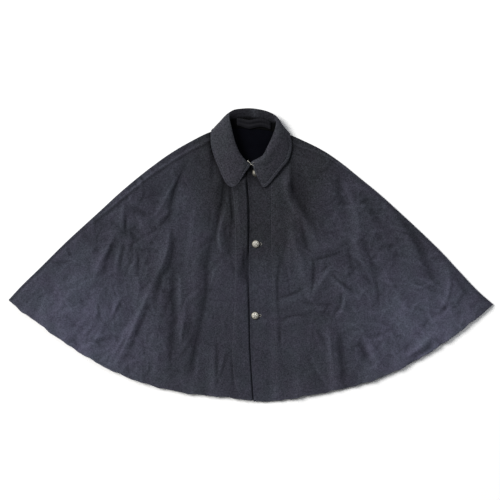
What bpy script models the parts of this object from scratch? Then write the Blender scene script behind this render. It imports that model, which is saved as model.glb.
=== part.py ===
"""A short wool cape with a turn-down collar, buttoned and laid flat on its back.

The back lies on the floor. Its two side edges roll over and come forward as narrow strips to the
side seams, where the two fronts begin. The left front laps over the right one and is held by three
shank buttons. The collar is one wall: a stand that rises from the neck seam, a fold, and a leaf that
lies on the fronts and tucks under the back. +Y points to the collar, and the wearer's left is at +X.
"""
import math

import bmesh
import bpy
import numpy as np

MM = 0.001

# Walls and gaps, in millimetres
CLOTH = 2.2
COLLAR_CLOTH = 2.6
LINING_CLOTH = 1.0
HANGER_CLOTH = 1.6
GAP = 0.3
SIDE_ROLL = 2.0
COLLAR_ROLL = 3.0
COLLAR_END_ROLL = 1.65
COLLAR_END_SHARE = 0.15
FOOT_INSET = 1.5
SEAM_LEAN_SHARE = 0.10
LEAST_STRIP = 0.4
SLOPE_STEP = 0.002

# The hem is one arc round a point above the collar, with long shallow waves
HEM_CENTRE_X = 14.3
HEM_CENTRE_Y = 503.3
HEM_RADIUS = 868.0
TIP_X = 604.4
FRONT_CORNER_DROP = 4.0
FRONT_CORNER_WIDTH = 16.0
# Columns: x, how far the hem stands outside its arc
HEM_WAVES = (
    (-604.4, 6.0), (-540, -1.7), (-440, -1.6), (-315, 2.9), (-190, 0.3), (-60, -4.8), (9, -0.7),
    (60, 1.7), (209, -0.6), (315, 3.2), (459, -1.9), (560, -2.8), (604.4, -3.0),
)

# Side edges from the neck to the tip. Columns: x, y, width of the strip between edge and seam
LEFT_EDGE = (
    (-72, 316.5, 25), (-102, 308, 24.5), (-152, 284, 21.5), (-202, 254.5, 21.5), (-252, 218.5, 18.5),
    (-327, 157, 17.5), (-377, 111, 13.5), (-427, 65.5, 6), (-452, 42.5, 3.5), (-527, -31.3, 3),
    (-577, -80.2, 3),
)
RIGHT_EDGE = (
    (70.6, 307.5, 25), (98, 300.5, 23), (138, 284, 19.5), (182, 261.5, 13), (223, 233.5, 9),
    (273, 193.3, 3.5), (323, 152.3, 3), (373, 107, 3), (423, 60.5, 3), (473, 12, 3),
    (523, -41.8, 3), (570.6, -91.5, 3),
)

# Neck seam round the collar, from the wearer's right front end to the left one.
# Columns: share of the collar's length, x, y
NECK_SEAM = (
    (0.00, -11, 219.5), (0.06, -25, 222.5), (0.12, -42, 230.5), (0.17, -57, 241), (0.23, -70, 257),
    (0.28, -78, 275), (0.325, -80.5, 293), (0.36, -77.5, 307), (0.385, -71.5, 315.6),
    (0.41, -61, 318.5), (0.50, 0, 319.5), (0.59, 58, 311), (0.615, 69.8, 306.8), (0.64, 76, 298.5),
    (0.675, 79, 284.5), (0.72, 79.5, 270), (0.77, 72.5, 253), (0.83, 57, 237.5), (0.88, 40, 227.5),
    (0.94, 21, 221), (1.00, 3, 218.5),
)
RIGHT_SEAM_SHARE = 0.325
LEFT_SEAM_SHARE = 0.675
BACK_NECK_HALF_SHARE = 0.128
BACK_NECK_EASE = 0.045
BACK_NECK_FROM = 0.40
BACK_NECK_TO = 0.60

# Collar fold line. Columns: share, x, y, z
COLLAR_FOLD = (
    (0.00, -2, 227, 14), (0.06, -9.4, 232.7, 17), (0.12, -18.5, 242, 21), (0.17, -27.4, 254, 24.5),
    (0.23, -35.6, 271, 27.5), (0.28, -41.5, 288, 29), (0.32, -47, 310, 30), (0.355, -51.4, 329, 29),
    (0.38, -54.5, 343, 26.5), (0.405, -52, 354, 22), (0.43, -41, 361.5, 16.5), (0.46, -24, 365, 10.5),
    (0.50, 0, 366.5, 6), (0.54, 24, 363, 9), (0.575, 44, 356.5, 16), (0.60, 58, 348, 22.5),
    (0.625, 64.5, 336, 27), (0.645, 64, 326, 29), (0.68, 60, 310, 30), (0.72, 53, 292, 29),
    (0.77, 43, 271, 27), (0.83, 31, 249, 24), (0.88, 20, 241.5, 21.5), (0.94, 8.5, 236, 18.5),
    (1.00, 1.5, 231.5, 16.5),
)

# Middle of the collar leaf. Columns: share, x, y, z
COLLAR_BELLY = (
    (0.00, -16, 205.5, 14), (0.06, -30, 205, 16), (0.12, -45, 222, 18.5), (0.17, -55, 240, 21.5),
    (0.23, -64, 260, 23.5), (0.28, -71, 281, 25), (0.32, -75, 300, 25.5), (0.355, -79, 320, 23),
    (0.38, -79, 330, 13), (0.405, -66, 339, 5), (0.43, -48, 338, 2), (0.50, 0, 333, 1.3),
    (0.57, 50, 331, 2), (0.60, 69, 332, 6), (0.625, 79, 324, 15), (0.645, 82.5, 313, 22),
    (0.68, 83, 299, 25), (0.72, 80, 280, 25), (0.77, 70, 257, 23), (0.83, 55, 235, 21.5),
    (0.88, 41, 220, 20.5), (0.94, 28, 210, 20), (1.00, 12, 206.5, 19.5),
)

# Outer edge of the collar leaf. Columns: share, x, y, z
COLLAR_EDGE = (
    (0.00, -30, 183, 11), (0.02, -38.5, 174.5, 10.5), (0.04, -47, 172, 10.5), (0.06, -54.5, 175, 10.5),
    (0.085, -62, 183, 10.5), (0.12, -70, 199, 10.5), (0.17, -80.5, 224, 11), (0.23, -90, 247, 12),
    (0.28, -97, 272, 13), (0.32, -98.5, 290, 13.5), (0.355, -98, 305, 13.5), (0.38, -94.5, 314, 7),
    (0.392, -88, 314, 1.6), (0.41, -76, 305, 1.3), (0.43, -62, 302, 1.3), (0.50, 0, 298, 1.3),
    (0.57, 56, 297, 1.3), (0.59, 72, 297, 1.3), (0.608, 87, 305, 1.6), (0.62, 94, 305, 7),
    (0.645, 97, 297, 13.5), (0.68, 100, 285, 13.5),
    (0.72, 101, 268, 13), (0.77, 93.5, 240, 12.5), (0.83, 77, 219, 12), (0.88, 57, 194, 12),
    (0.915, 46, 180.5, 12), (0.94, 39, 173.3, 12), (0.96, 33, 171.5, 12.5), (0.98, 28.5, 174.5, 13),
    (1.00, 26, 181, 14),
)

# Front edges from neck to hem. Columns: x, y
LEFT_FRONT_EDGE = ((-8, 217.8), (-5.4, 164), (-2.9, 139), (-2.6, 14), (-1.9, -111), (0.6, -236), (8.6, -362))
RIGHT_FRONT_EDGE = ((28, 220), (29, 139), (30, -111), (31, -361))

# How high the panels lie, as the middle of the cloth above the floor
BACK_HEIGHT = CLOTH / 2
FRONT_HEIGHT = BACK_HEIGHT + 2 * SIDE_ROLL
LOWEST_FRONT = BACK_HEIGHT + CLOTH + GAP + 0.1

# Lift of the cloth round the neck, over the part of the leaf that is tucked under the back
COLLAR_LIFT = COLLAR_CLOTH + GAP + 1.0
COLLAR_LIFT_FROM_Y = 262.0
COLLAR_LIFT_DEPTH = 30.0
COLLAR_LIFT_HALF_WIDTH = 134.0
COLLAR_LIFT_SIDE = 34.0

# The right front's flat stretch under the lap, and where it rises to clear the lining
UNDERLAP_HEIGHT = 4.2
UNDERLAP_FROM_X = -30.0
UNDERLAP_EASE = 25.0
YOKE_RISE_FROM_Y = 160.0
YOKE_RISE_DEPTH = 30.0

# The left front's lap over it, and its lifted front edge
LAP_REACH = 34.0
LAP_EASE = 26.0
LAP_CLEARANCE = GAP + 0.2
LAP_FOLDS_FROM_X = 20.0
LAP_FOLDS_EASE = 25.0
FRONT_EDGE_X = -8.0
FRONT_EDGE_LIFT = 1.8
FRONT_EDGE_EASE = 14.0

# The leaf presses the folds under it flat
PRESSED_FROM_Y = 175.0
PRESSED_DEPTH = 30.0
PRESSED_HALF_WIDTH = 105.0
PRESSED_SIDE = 15.0
LEAST_PRESSED_FOLD = 0.25

# Folds that stand up from the fronts or sink into them.
# Columns: start x, y, bend x, y, end x, y, height, half width
RIGHT_FRONT_FOLDS = (
    (-70, 180, -87, 100, -118, -165, -3.4, 20), (-52, 172, -46, 110, -44, 40, 3.6, 14),
    (-160, 243, -185, 190, -220, 126, -2.6, 17), (-204, 64, -208, -10, -262, -80, 7.5, 13),
    (-262, -80, -300, -190, -332, -282, 6.5, 16), (-308, 104, -312, 76, -310, 50, 4.2, 14),
    (-307, 14, -280, -60, -284, -120, 5.0, 14), (-192, 10, -190, -120, -196, -240, -3.2, 14),
    (-180, -84, -165, -160, -172, -205, 4.8, 14), (-108, -50, -114, -150, -150, -258, -3.6, 16),
    (-322, 20, -350, -30, -392, -62, 4.0, 18), (-440, -60, -470, -110, -500, -150, 3.2, 22),
    (-130, 60, -140, -40, -142, -130, 3.4, 16), (-240, 140, -262, 70, -272, 20, 2.8, 16),
    (-390, 20, -430, -60, -450, -150, 2.6, 24), (-255, -150, -235, -240, -225, -320, 3.6, 18),
    (-90, -220, -92, -290, -86, -345, 3.0, 15), (-520, -90, -545, -120, -560, -140, 2.4, 16),
)
FOLD_LINE_POINTS = 28
FOLD_END = 0.06
FOLD_FADE = 0.6
LEFT_FRONT_FOLDS = (
    (96, 236, 99, 190, 104, 140, 6.5, 15), (128, 226, 146, 130, 182, 22, -2.6, 16),
    (96, 180, 122, 40, 148, -104, 6.0, 17), (155, -4, 190, 12, 224, 8, 5.0, 15),
    (150, -104, 182, -60, 199, -41, 5.6, 16), (199, -41, 232, -70, 248, -111, 6.0, 15),
    (226, -84, 230, -120, 204, -144, 4.0, 14), (70, -106, 100, -98, 123, -94, 3.2, 13),
    (73, -114, 130, -122, 205, -118, 3.8, 14), (73, -164, 90, -156, 158, -118, 4.0, 14),
    (256, 139, 300, 30, 330, -44, 4.4, 20), (373, 72, 410, 10, 448, -29, 3.8, 18),
    (173, -212, 188, -270, 206, -330, 4.6, 16), (266, -218, 285, -260, 298, -285, 4.6, 14),
    (380, -252, 430, -210, 481, -186, 3.6, 15), (70, -24, 74, -150, 72, -330, -2.4, 7),
    (180, 190, 230, 110, 262, 20, 2.8, 22), (330, -100, 380, -160, 430, -210, 3.4, 20),
    (470, -60, 510, -110, 530, -150, 2.8, 20), (120, -200, 118, -270, 112, -350, 3.0, 14),
)

# Buttons, hook and eye. Columns: x, y
BUTTONS = ((13, 206.5), (12.4, 29), (10.8, -149.3))
BUTTON_RADIUS = 10.4
DOME_RADIUS = 9.4
BUTTON_RIM = 1.4
BUTTON_DOME = 4.2
BUTTON_STEPS = 18
SHANK_COLLAR = 0.5
SHANK_RADIUS = 1.2
SHANK_FOOT_RADIUS = 2.6
SLOT_WIDTH = 3.2
SLOT_FROM = -3.0
SLOT_TO = 17.0
SLOT_HALF_DEPTH = 8.0
SLOT_HEIGHT = 9.0
HOOK_WIRE = 0.9

# Hanger loop over the back of the neck. Columns: x, y of the upper edge, y of the lower edge
HANGER = (
    (-40, 341, 324), (-27, 340.5, 322.5), (-2, 336.5, 316.5), (11, 339, 319), (24, 340, 321.5),
    (36, 337.5, 320), (49, 331, 315),
)
HANGER_TOP_RISE = 6.0
HANGER_FOOT_RISE = 0.9
STAND_BLEND = 2.0

# Lining seen through the neck. Columns: distance below the neck seam, left x, right x
LINING_SIDES = ((2.2, -62, 60), (30, -66, 64), (60, -64, 62), (88, -52, 50), (112, -34, 34))
LINING_EASE = 0.9
LINING_EASE_Y = 268.0
LINING_EASE_DEPTH = 16.0

# How finely the surfaces are divided
ROWS = 26
ROW_CROWDING = 1.25
FRONT_COLUMNS = 27
BACK_COLUMNS = 16
ROLL_STEPS = 4
STRIP_STEPS = 2
COLLAR_COLUMNS = 50
COLLAR_CROWDING = 0.30
STAND_STEPS = 4
FOLD_STEPS = 4
LEAF_STEPS = 6

# Colours in linear light, then roughness and metallic
WOOL = ((0.030, 0.032, 0.043, 1), 0.92, 0.0)
COLLAR_WOOL = ((0.040, 0.041, 0.052, 1), 0.92, 0.0)
DARK_CLOTH = ((0.006, 0.006, 0.009, 1), 0.80, 0.0)
SILVERED = ((0.62, 0.60, 0.52, 1), 0.28, 1.0)


def smooth_curve(share, values, at):
    """Cubic through the rows: values at each share, with slopes from the neighbouring rows."""
    slopes = np.gradient(values, share, axis=0)
    row = np.clip(np.searchsorted(share, at, side="right") - 1, 0, len(share) - 2)
    span = share[row + 1] - share[row]
    t = (at - share[row]) / span
    t, span = t[:, None], span[:, None]
    start = (2 * t**3 - 3 * t**2 + 1) * values[row] + (t**3 - 2 * t**2 + t) * span * slopes[row]
    end = (3 * t**2 - 2 * t**3) * values[row + 1] + (t**3 - t**2) * span * slopes[row + 1]
    return start + end


def table_curve(table, at):
    """Reads a table whose first column is the share along the curve."""
    rows = np.array(table, dtype=float)
    return smooth_curve(rows[:, 0], rows[:, 1:], np.asarray(at, dtype=float))


def length_shares(points):
    """Share of the whole length at each point of a line."""
    steps = np.linalg.norm(np.diff(points, axis=0), axis=1)
    travelled = np.concatenate(([0.0], np.cumsum(steps)))
    return travelled / travelled[-1]


def even_curve(table, at):
    """Reads a table at shares of its length in the plan, given by its first two columns."""
    rows = np.array(table, dtype=float)
    return smooth_curve(length_shares(rows[:, :2]), rows, np.asarray(at, dtype=float))


def soft_step(x):
    """Rises smoothly from 0 at x = 0 to 1 at x = 1."""
    x = np.clip(x, 0.0, 1.0)
    return x * x * (3 - 2 * x)


def hem_y(x):
    """The hem's y at x: the arc, moved out by its waves."""
    waves = np.array(HEM_WAVES, dtype=float)
    x = np.asarray(x, dtype=float)
    offset = smooth_curve(waves[:, 0], waves[:, 1:], np.ravel(x))[:, 0].reshape(x.shape)
    return HEM_CENTRE_Y - np.sqrt((HEM_RADIUS + offset) ** 2 - (x - HEM_CENTRE_X) ** 2)


def hem_curve(start_x, end_x, at):
    """Points of the hem at even steps between two x."""
    x = start_x + (end_x - start_x) * np.asarray(at)
    return np.stack([x, hem_y(x)], axis=-1)


def side_edge(side, at):
    """Start of the roll at a side edge, its strip's width, and the direction inwards from the edge."""
    table = LEFT_EDGE if side < 0 else RIGHT_EDGE
    tip = (side * TIP_X, float(hem_y(side * TIP_X)), table[-1][2])
    at = np.asarray(at, dtype=float)
    found = even_curve(table + (tip,), at)
    ahead = even_curve(table + (tip,), np.clip(at + SLOPE_STEP, 0, 1))[:, :2]
    behind = even_curve(table + (tip,), np.clip(at - SLOPE_STEP, 0, 1))[:, :2]
    along = ahead - behind
    along /= np.linalg.norm(along, axis=1)[:, None]
    inward = side * np.stack([along[:, 1], -along[:, 0]], axis=-1)
    return found[:, :2] + inward * (CLOTH / 2 + SIDE_ROLL), found[:, 2], inward


def strip_end(side, at):
    """End of the back's strip, where the side seam runs; at the neck it meets the neck seam."""
    start, strip, inward = side_edge(side, at)
    end = start + inward * np.maximum(strip - SIDE_ROLL, LEAST_STRIP)[:, None]
    neck_start, neck_strip, neck_inward = side_edge(side, np.array([0.0]))
    neck_end = neck_start + neck_inward * (neck_strip - SIDE_ROLL)[:, None]
    meets = table_curve(NECK_SEAM, [RIGHT_SEAM_SHARE if side < 0 else LEFT_SEAM_SHARE])
    fading = 1 - soft_step(np.asarray(at) / SEAM_LEAN_SHARE)
    return end + (meets - neck_end) * fading[:, None]


def collar_lift(x, y):
    """How far the cloth round the neck is lifted by the collar leaf under it."""
    near_neck = soft_step((y - COLLAR_LIFT_FROM_Y) / COLLAR_LIFT_DEPTH)
    between_sides = soft_step((COLLAR_LIFT_HALF_WIDTH - np.abs(x)) / COLLAR_LIFT_SIDE)
    return COLLAR_LIFT * near_neck * between_sides


def back_height(x, y):
    """Height of the back's middle surface."""
    return BACK_HEIGHT + collar_lift(x, y)


def fold_relief(x, y, folds):
    """Sum of the folds: each is a bell across its own bent line, fading at both ends."""
    relief = np.zeros(np.shape(x))
    t = np.linspace(0, 1, FOLD_LINE_POINTS)
    for x0, y0, x1, y1, x2, y2, height, half_width in folds:
        line_x = (1 - t) ** 2 * x0 + 2 * t * (1 - t) * x1 + t**2 * x2
        line_y = (1 - t) ** 2 * y0 + 2 * t * (1 - t) * y1 + t**2 * y2
        away = np.hypot(x[..., None] - line_x, y[..., None] - line_y)
        nearest = np.argmin(away, axis=-1)
        fade = np.sin(math.pi * np.clip(t[nearest], FOLD_END, 1 - FOLD_END)) ** FOLD_FADE
        relief += height * fade * np.exp(-((away.min(axis=-1) / half_width) ** 2))
    return relief


def free_of_collar(x, y):
    """1 where no collar leaf lies on the fronts, falling to 0 under the leaf."""
    under_leaf = soft_step((y - PRESSED_FROM_Y) / PRESSED_DEPTH)
    return 1 - under_leaf * soft_step((PRESSED_HALF_WIDTH - np.abs(x)) / PRESSED_SIDE)


def right_front_height(x, y):
    """Height of the right front's middle surface, which is flat where the left front laps over it."""
    near_neck = soft_step((y - YOKE_RISE_FROM_Y) / YOKE_RISE_DEPTH)
    near_edge = soft_step((x - UNDERLAP_FROM_X) / UNDERLAP_EASE)
    plain = FRONT_HEIGHT + (UNDERLAP_HEIGHT - FRONT_HEIGHT) * near_edge * (1 - near_neck)
    relief = fold_relief(x, y, RIGHT_FRONT_FOLDS) * (1 - near_edge) * free_of_collar(x, y)
    return np.maximum(plain + collar_lift(x, y) + relief, LOWEST_FRONT)


def left_front_height(x, y):
    """Height of the left front's middle surface, lifted where it laps over the right front."""
    lapping = 1 - soft_step((x - LAP_REACH) / LAP_EASE)
    over_right = right_front_height(x, y) + CLOTH + LAP_CLEARANCE
    at_edge = FRONT_EDGE_LIFT * (1 - soft_step((x - FRONT_EDGE_X) / FRONT_EDGE_EASE))
    relief = fold_relief(x, y, LEFT_FRONT_FOLDS) * soft_step((x - LAP_FOLDS_FROM_X) / LAP_FOLDS_EASE)
    relief *= np.maximum(free_of_collar(x, y), LEAST_PRESSED_FOLD)
    plain = FRONT_HEIGHT + collar_lift(x, y) + relief
    return np.maximum(plain * (1 - lapping) + (over_right + at_edge + relief) * lapping, LOWEST_FRONT)


def row_shares(rows):
    """Places from neck to hem, closer together at the neck."""
    return np.linspace(0, 1, rows + 1) ** ROW_CROWDING


def patch(first, last, top, bottom):
    """Grid between four edge lines: two run down its sides, two across its ends."""
    down = row_shares(first.shape[0] - 1)[:, None, None]
    across = np.linspace(0, 1, top.shape[0])[None, :, None]
    between_sides = (1 - across) * first[:, None] + across * last[:, None]
    between_ends = (1 - down) * top[None] + down * bottom[None]
    corners = (1 - down) * ((1 - across) * top[0] + across * top[-1])
    corners = corners + down * ((1 - across) * bottom[0] + across * bottom[-1])
    return between_sides + between_ends - corners


def front_plan(side, rows, columns):
    """Plan of a front, from its front edge to its side seam and from neck to hem."""
    down = row_shares(rows)
    across = np.linspace(0, 1, columns + 1)
    seam = strip_end(side, down) + side_edge(side, down)[2] * GAP
    if side < 0:
        front = even_curve(RIGHT_FRONT_EDGE, down)
        neck_rows = tuple(row[1:] for row in NECK_SEAM if row[0] < RIGHT_SEAM_SHARE)
    else:
        front = even_curve(LEFT_FRONT_EDGE, down)
        neck_rows = tuple(row[1:] for row in reversed(NECK_SEAM[:-1]) if row[0] > LEFT_SEAM_SHARE)
    neck = even_curve((tuple(front[0]),) + neck_rows + (tuple(seam[0]),), across)
    hem = hem_curve(front[-1, 0], seam[-1, 0], across)
    if side > 0:
        hem[:, 1] -= FRONT_CORNER_DROP * np.exp(-(hem[:, 0] - front[-1, 0]) / FRONT_CORNER_WIDTH)
    front[-1] = hem[0]
    seam[-1] = hem[-1]
    return patch(front, seam, neck, hem)


def front_surface(side, rows, columns):
    """Middle surface of a front: its plan with the height of its cloth."""
    plan = front_plan(side, rows, columns)
    height = left_front_height if side > 0 else right_front_height
    return np.concatenate([plan, height(plan[..., 0], plan[..., 1])[..., None]], axis=-1)


def back_surface(rows, columns):
    """Middle surface of the back: a strip, a roll, the flat panel, and a roll and a strip again."""
    down = row_shares(rows)
    across = np.linspace(0, 1, columns + 1)
    starts = {side: side_edge(side, down)[0] for side in (-1, 1)}
    neck_rows = tuple(row[1:] for row in NECK_SEAM if BACK_NECK_FROM < row[0] < BACK_NECK_TO)
    neck = even_curve((tuple(starts[-1][0]),) + neck_rows + (tuple(starts[1][0]),), across)
    hem = hem_curve(starts[-1][-1, 0], starts[1][-1, 0], across)
    starts[-1][-1] = hem[0]
    starts[1][-1] = hem[-1]
    plan = patch(starts[-1], starts[1], neck, hem)
    flat = np.concatenate([plan, back_height(plan[..., 0], plan[..., 1])[..., None]], axis=-1)
    wings = {}
    for side in (-1, 1):
        inward = side_edge(side, down)[2]
        end = strip_end(side, down)
        start = flat[:, 0] if side < 0 else flat[:, -1]
        columns_out = []
        for angle in np.linspace(0, math.pi, ROLL_STEPS + 1)[1:]:
            point = start.copy()
            point[:, :2] -= inward * SIDE_ROLL * math.sin(angle)
            point[:, 2] += SIDE_ROLL * (1 - math.cos(angle))
            columns_out.append(point)
        for share in np.linspace(0, 1, STRIP_STEPS + 1)[1:]:
            point = start.copy()
            point[:, :2] += (end - start[:, :2]) * share
            point[:, 2] = back_height(point[:, 0], point[:, 1]) + 2 * SIDE_ROLL
            columns_out.append(point)
        wings[side] = np.stack(columns_out, axis=1)
    return np.concatenate([wings[-1][:, ::-1], flat, wings[1]], axis=1)


def collar_shares(columns):
    """Places along the collar, closer together at its rounded points and at its two bends."""
    even = np.linspace(0, 1, columns + 1)
    return even - COLLAR_CROWDING * np.sin(2 * math.pi * even) / (2 * math.pi)


def collar_surface(columns, stand_steps, fold_steps, leaf_steps):
    """Middle surface of the collar: across it run the stand, the fold and the leaf."""
    share = collar_shares(columns)
    seam = table_curve(NECK_SEAM, share)
    fold = table_curve(COLLAR_FOLD, share)
    belly = table_curve(COLLAR_BELLY, share)
    edge = table_curve(COLLAR_EDGE, share)
    foot = stand_foot(share, seam, fold)
    opposite = fold + (belly - fold) * (
        np.linalg.norm(foot - fold, axis=1) / np.linalg.norm(belly - fold, axis=1))[:, None]
    outward = fold - (foot + opposite) / 2
    outward /= np.linalg.norm(outward, axis=1)[:, None]
    leafward = opposite - foot
    leafward -= outward * np.sum(leafward * outward, axis=1)[:, None]
    leafward /= np.linalg.norm(leafward, axis=1)[:, None]
    from_end = soft_step(np.minimum(share, 1 - share) / COLLAR_END_SHARE)
    roll = (COLLAR_END_ROLL + (COLLAR_ROLL - COLLAR_END_ROLL) * from_end)[:, None]
    before = fold - roll * outward - roll * leafward
    after = fold - roll * outward + roll * leafward
    middle = (foot + before) / 2
    guides = np.stack([foot, middle, before, fold, after, belly, edge], axis=1)
    surface = np.empty((columns + 1, stand_steps + fold_steps + leaf_steps + 1, 3))
    for column, points in enumerate(guides):
        own = length_shares(points)
        wanted = np.concatenate([
            np.linspace(0, own[2], stand_steps + 1)[:-1],
            np.linspace(own[2], own[4], fold_steps + 1)[:-1],
            np.linspace(own[4], 1, leaf_steps + 1),
        ])
        surface[column] = smooth_curve(own, points, wanted)
    surface[..., 2] = np.maximum(surface[..., 2], COLLAR_CLOTH / 2)
    return surface


def stand_foot(share, seam, fold):
    """Lower edge of the stand: on the panels' neck edge, just inside it and just above the cloth."""
    along = np.gradient(seam, share, axis=0)
    along /= np.linalg.norm(along, axis=1)[:, None]
    onto_cloth = np.stack([-along[:, 1], along[:, 0]], axis=-1)
    from_middle = np.abs(share - 0.5)
    behind = soft_step((BACK_NECK_HALF_SHARE - from_middle) / BACK_NECK_EASE)
    place = seam + onto_cloth * (FOOT_INSET * (1 - 2 * behind))[:, None]
    x, y = place[:, 0], place[:, 1]
    front = np.where(share < 0.5, right_front_height(x, y), left_front_height(x, y))
    cloth = front * (1 - behind) + back_height(x, y) * behind
    height = cloth + CLOTH / 2 + GAP + COLLAR_CLOTH / 2
    return np.concatenate([place, height[:, None]], axis=-1)


def lining_surface(rows, columns):
    """Middle surface of the lining, lying on the back below its neck seam."""
    sides = np.array(LINING_SIDES, dtype=float)
    found = smooth_curve(length_shares(sides[:, :1]), sides, np.linspace(0, 1, rows + 1))
    across = np.linspace(0, 1, columns + 1)
    x = found[:, 1:2] + (found[:, 2:3] - found[:, 1:2]) * across
    neck = table_curve(NECK_SEAM, np.linspace(BACK_NECK_FROM, BACK_NECK_TO, 41))
    y = np.interp(x, neck[:, 0], neck[:, 1]) - found[:, 0:1]
    ease = LINING_EASE * np.exp(-(((y - LINING_EASE_Y) / LINING_EASE_DEPTH) ** 2))
    z = back_height(x, y) + CLOTH / 2 + GAP + LINING_CLOTH / 2 + ease
    return np.stack([x, y, z], axis=-1)


def stand_top(x, y, stand):
    """Height of the upper face of the stand and of the cloth below it, at places in the plan."""
    away = np.hypot(x[..., None] - stand[:, 0], y[..., None] - stand[:, 1])
    weight = 1 / (away**2 + STAND_BLEND**2) ** 2
    blended = np.sum(weight * stand[:, 2], axis=-1) / np.sum(weight, axis=-1)
    return blended + COLLAR_CLOTH / 2


def hanger_surface(columns, steps):
    """Middle surface of the hanger loop: a strip that leans on the stand and is sewn on at its ends."""
    rows = np.array(HANGER, dtype=float)
    across = np.linspace(0, 1, columns + 1)
    found = smooth_curve(length_shares(rows[:, :1]), rows, across)
    up = np.linspace(0, 1, steps + 1)
    x = found[:, 0:1] + 0 * up
    y = found[:, 2:3] + (found[:, 1:2] - found[:, 2:3]) * up
    stand = collar_surface(120, 12, 4, 4)[:, :13].reshape(-1, 3)
    freed = np.sqrt(np.sin(math.pi * across))[:, None]
    rise = HANGER_FOOT_RISE + (HANGER_TOP_RISE - HANGER_FOOT_RISE) * up * freed
    return np.stack([x, y, stand_top(x, y, stand) + HANGER_CLOTH / 2 + rise], axis=-1)


def make_material(name, finish):
    """Principled BSDF with a colour, roughness and metallic value."""
    colour, roughness, metallic = finish
    material = bpy.data.materials.new(name)
    material.use_nodes = True
    shader = material.node_tree.nodes["Principled BSDF"]
    shader.inputs["Base Color"].default_value = colour
    shader.inputs["Roughness"].default_value = roughness
    shader.inputs["Metallic"].default_value = metallic
    material.diffuse_color = colour
    return material


def finish_object(obj, collection, finish):
    """Puts an object in its collection, with a material of its own and smooth shading."""
    for owner in list(obj.users_collection):
        owner.objects.unlink(obj)
    collection.objects.link(obj)
    obj.data.materials.clear()
    obj.data.materials.append(make_material(obj.name + "_finish", finish))
    obj.data.shade_smooth()
    obj.data.set_sharp_from_angle(angle=math.radians(50))


def cloth_wall(name, surface, thickness, collection, finish, flip=False):
    """Wall of even thickness, given in millimetres, on a grid of points."""
    rows, columns = surface.shape[:2]
    number = np.arange(rows * columns).reshape(rows, columns)
    faces = np.stack([number[:-1, :-1], number[1:, :-1], number[1:, 1:], number[:-1, 1:]], axis=-1)
    faces = faces.reshape(-1, 4)
    if flip:
        faces = faces[:, ::-1]
    mesh = bpy.data.meshes.new(name)
    mesh.from_pydata((surface.reshape(-1, 3) * MM).tolist(), [], faces.tolist())
    obj = bpy.data.objects.new(name, mesh)
    collection.objects.link(obj)
    wall = obj.modifiers.new("wall", "SOLIDIFY")
    wall.thickness = thickness * MM
    wall.offset = 0.0
    finish_object(obj, collection, finish)
    return obj


def turned(name, profile, steps, place, collection, finish):
    """Solid of revolution about the vertical through a place, from (radius, height) points."""
    mesh = bpy.data.meshes.new(name)
    points = [(radius * MM, 0.0, height * MM) for radius, height in profile]
    mesh.from_pydata(points, [(i, i + 1) for i in range(len(points) - 1)], [])
    obj = bpy.data.objects.new(name, mesh)
    collection.objects.link(obj)
    obj.location = (place[0] * MM, place[1] * MM, 0.0)
    screw = obj.modifiers.new("turn", "SCREW")
    screw.steps = steps
    screw.render_steps = steps
    screw.use_merge_vertices = True
    screw.merge_threshold = 0.00001
    finish_object(obj, collection, finish)
    return obj


def make_button(number, place, collection):
    """Domed shank button: the dome lies on the left front, the shank's foot on the right front."""
    under_dome = np.array([place[0] - BUTTON_RADIUS, place[0], place[0] + BUTTON_RADIUS])
    seat = left_front_height(under_dome, place[1] + 0 * under_dome).max() + CLOTH / 2 + GAP
    foot = right_front_height(under_dome, place[1] + 0 * under_dome)[1] + CLOTH / 2 + GAP
    rim_foot = seat + SHANK_COLLAR
    rim_top = rim_foot + BUTTON_RIM
    profile = [(0.0, rim_top + BUTTON_DOME)]
    for angle in np.radians((22, 44, 66)):
        profile.append((DOME_RADIUS * math.sin(angle), rim_top + BUTTON_DOME * math.cos(angle)))
    profile += [(DOME_RADIUS, rim_top), (BUTTON_RADIUS, rim_top - 0.2 * BUTTON_RIM),
                (BUTTON_RADIUS, rim_foot + 0.2 * BUTTON_RIM), (DOME_RADIUS, rim_foot),
                (SHANK_FOOT_RADIUS, seat), (SHANK_RADIUS, seat - 0.2), (SHANK_RADIUS, foot), (0.0, foot)]
    turned(f"button_{number}", profile, BUTTON_STEPS, place, collection, SILVERED)


def slot_cutter(number, place, cutters):
    """Cutter for a buttonhole: a slot with round ends that runs sideways from the shank."""
    outline = bpy.data.curves.new(f"slot_{number}", "CURVE")
    outline.dimensions = "2D"
    outline.fill_mode = "BOTH"
    outline.extrude = SLOT_HALF_DEPTH * MM
    radius = SLOT_WIDTH / 2
    points = []
    for centre_x, start in ((SLOT_TO - radius, -90), (SLOT_FROM + radius, 90)):
        for angle in np.radians(start + np.linspace(0, 180, 7)):
            points.append((centre_x + radius * math.cos(angle), radius * math.sin(angle)))
    spline = outline.splines.new("POLY")
    spline.points.add(len(points) - 1)
    spline.use_cyclic_u = True
    for control, (x, y) in zip(spline.points, points):
        control.co = (x * MM, y * MM, 0, 1)
    raised = bpy.data.objects.new(f"slot_{number}_outline", outline)
    cutters.objects.link(raised)
    raised.location = (place[0] * MM, place[1] * MM, SLOT_HEIGHT * MM)
    bpy.context.view_layer.update()
    mesh = bpy.data.meshes.new_from_object(raised.evaluated_get(bpy.context.evaluated_depsgraph_get()))
    work = bmesh.new()
    work.from_mesh(mesh)
    bmesh.ops.remove_doubles(work, verts=work.verts, dist=0.00001)
    bmesh.ops.recalc_face_normals(work, faces=work.faces)
    work.to_mesh(mesh)
    work.free()
    cutter = bpy.data.objects.new(f"slot_{number}_cutter", mesh)
    cutter.matrix_world = raised.matrix_world
    cutters.objects.link(cutter)
    bpy.data.objects.remove(raised)
    cutter.hide_render = True
    cutter.display_type = "WIRE"
    return cutter


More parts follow.
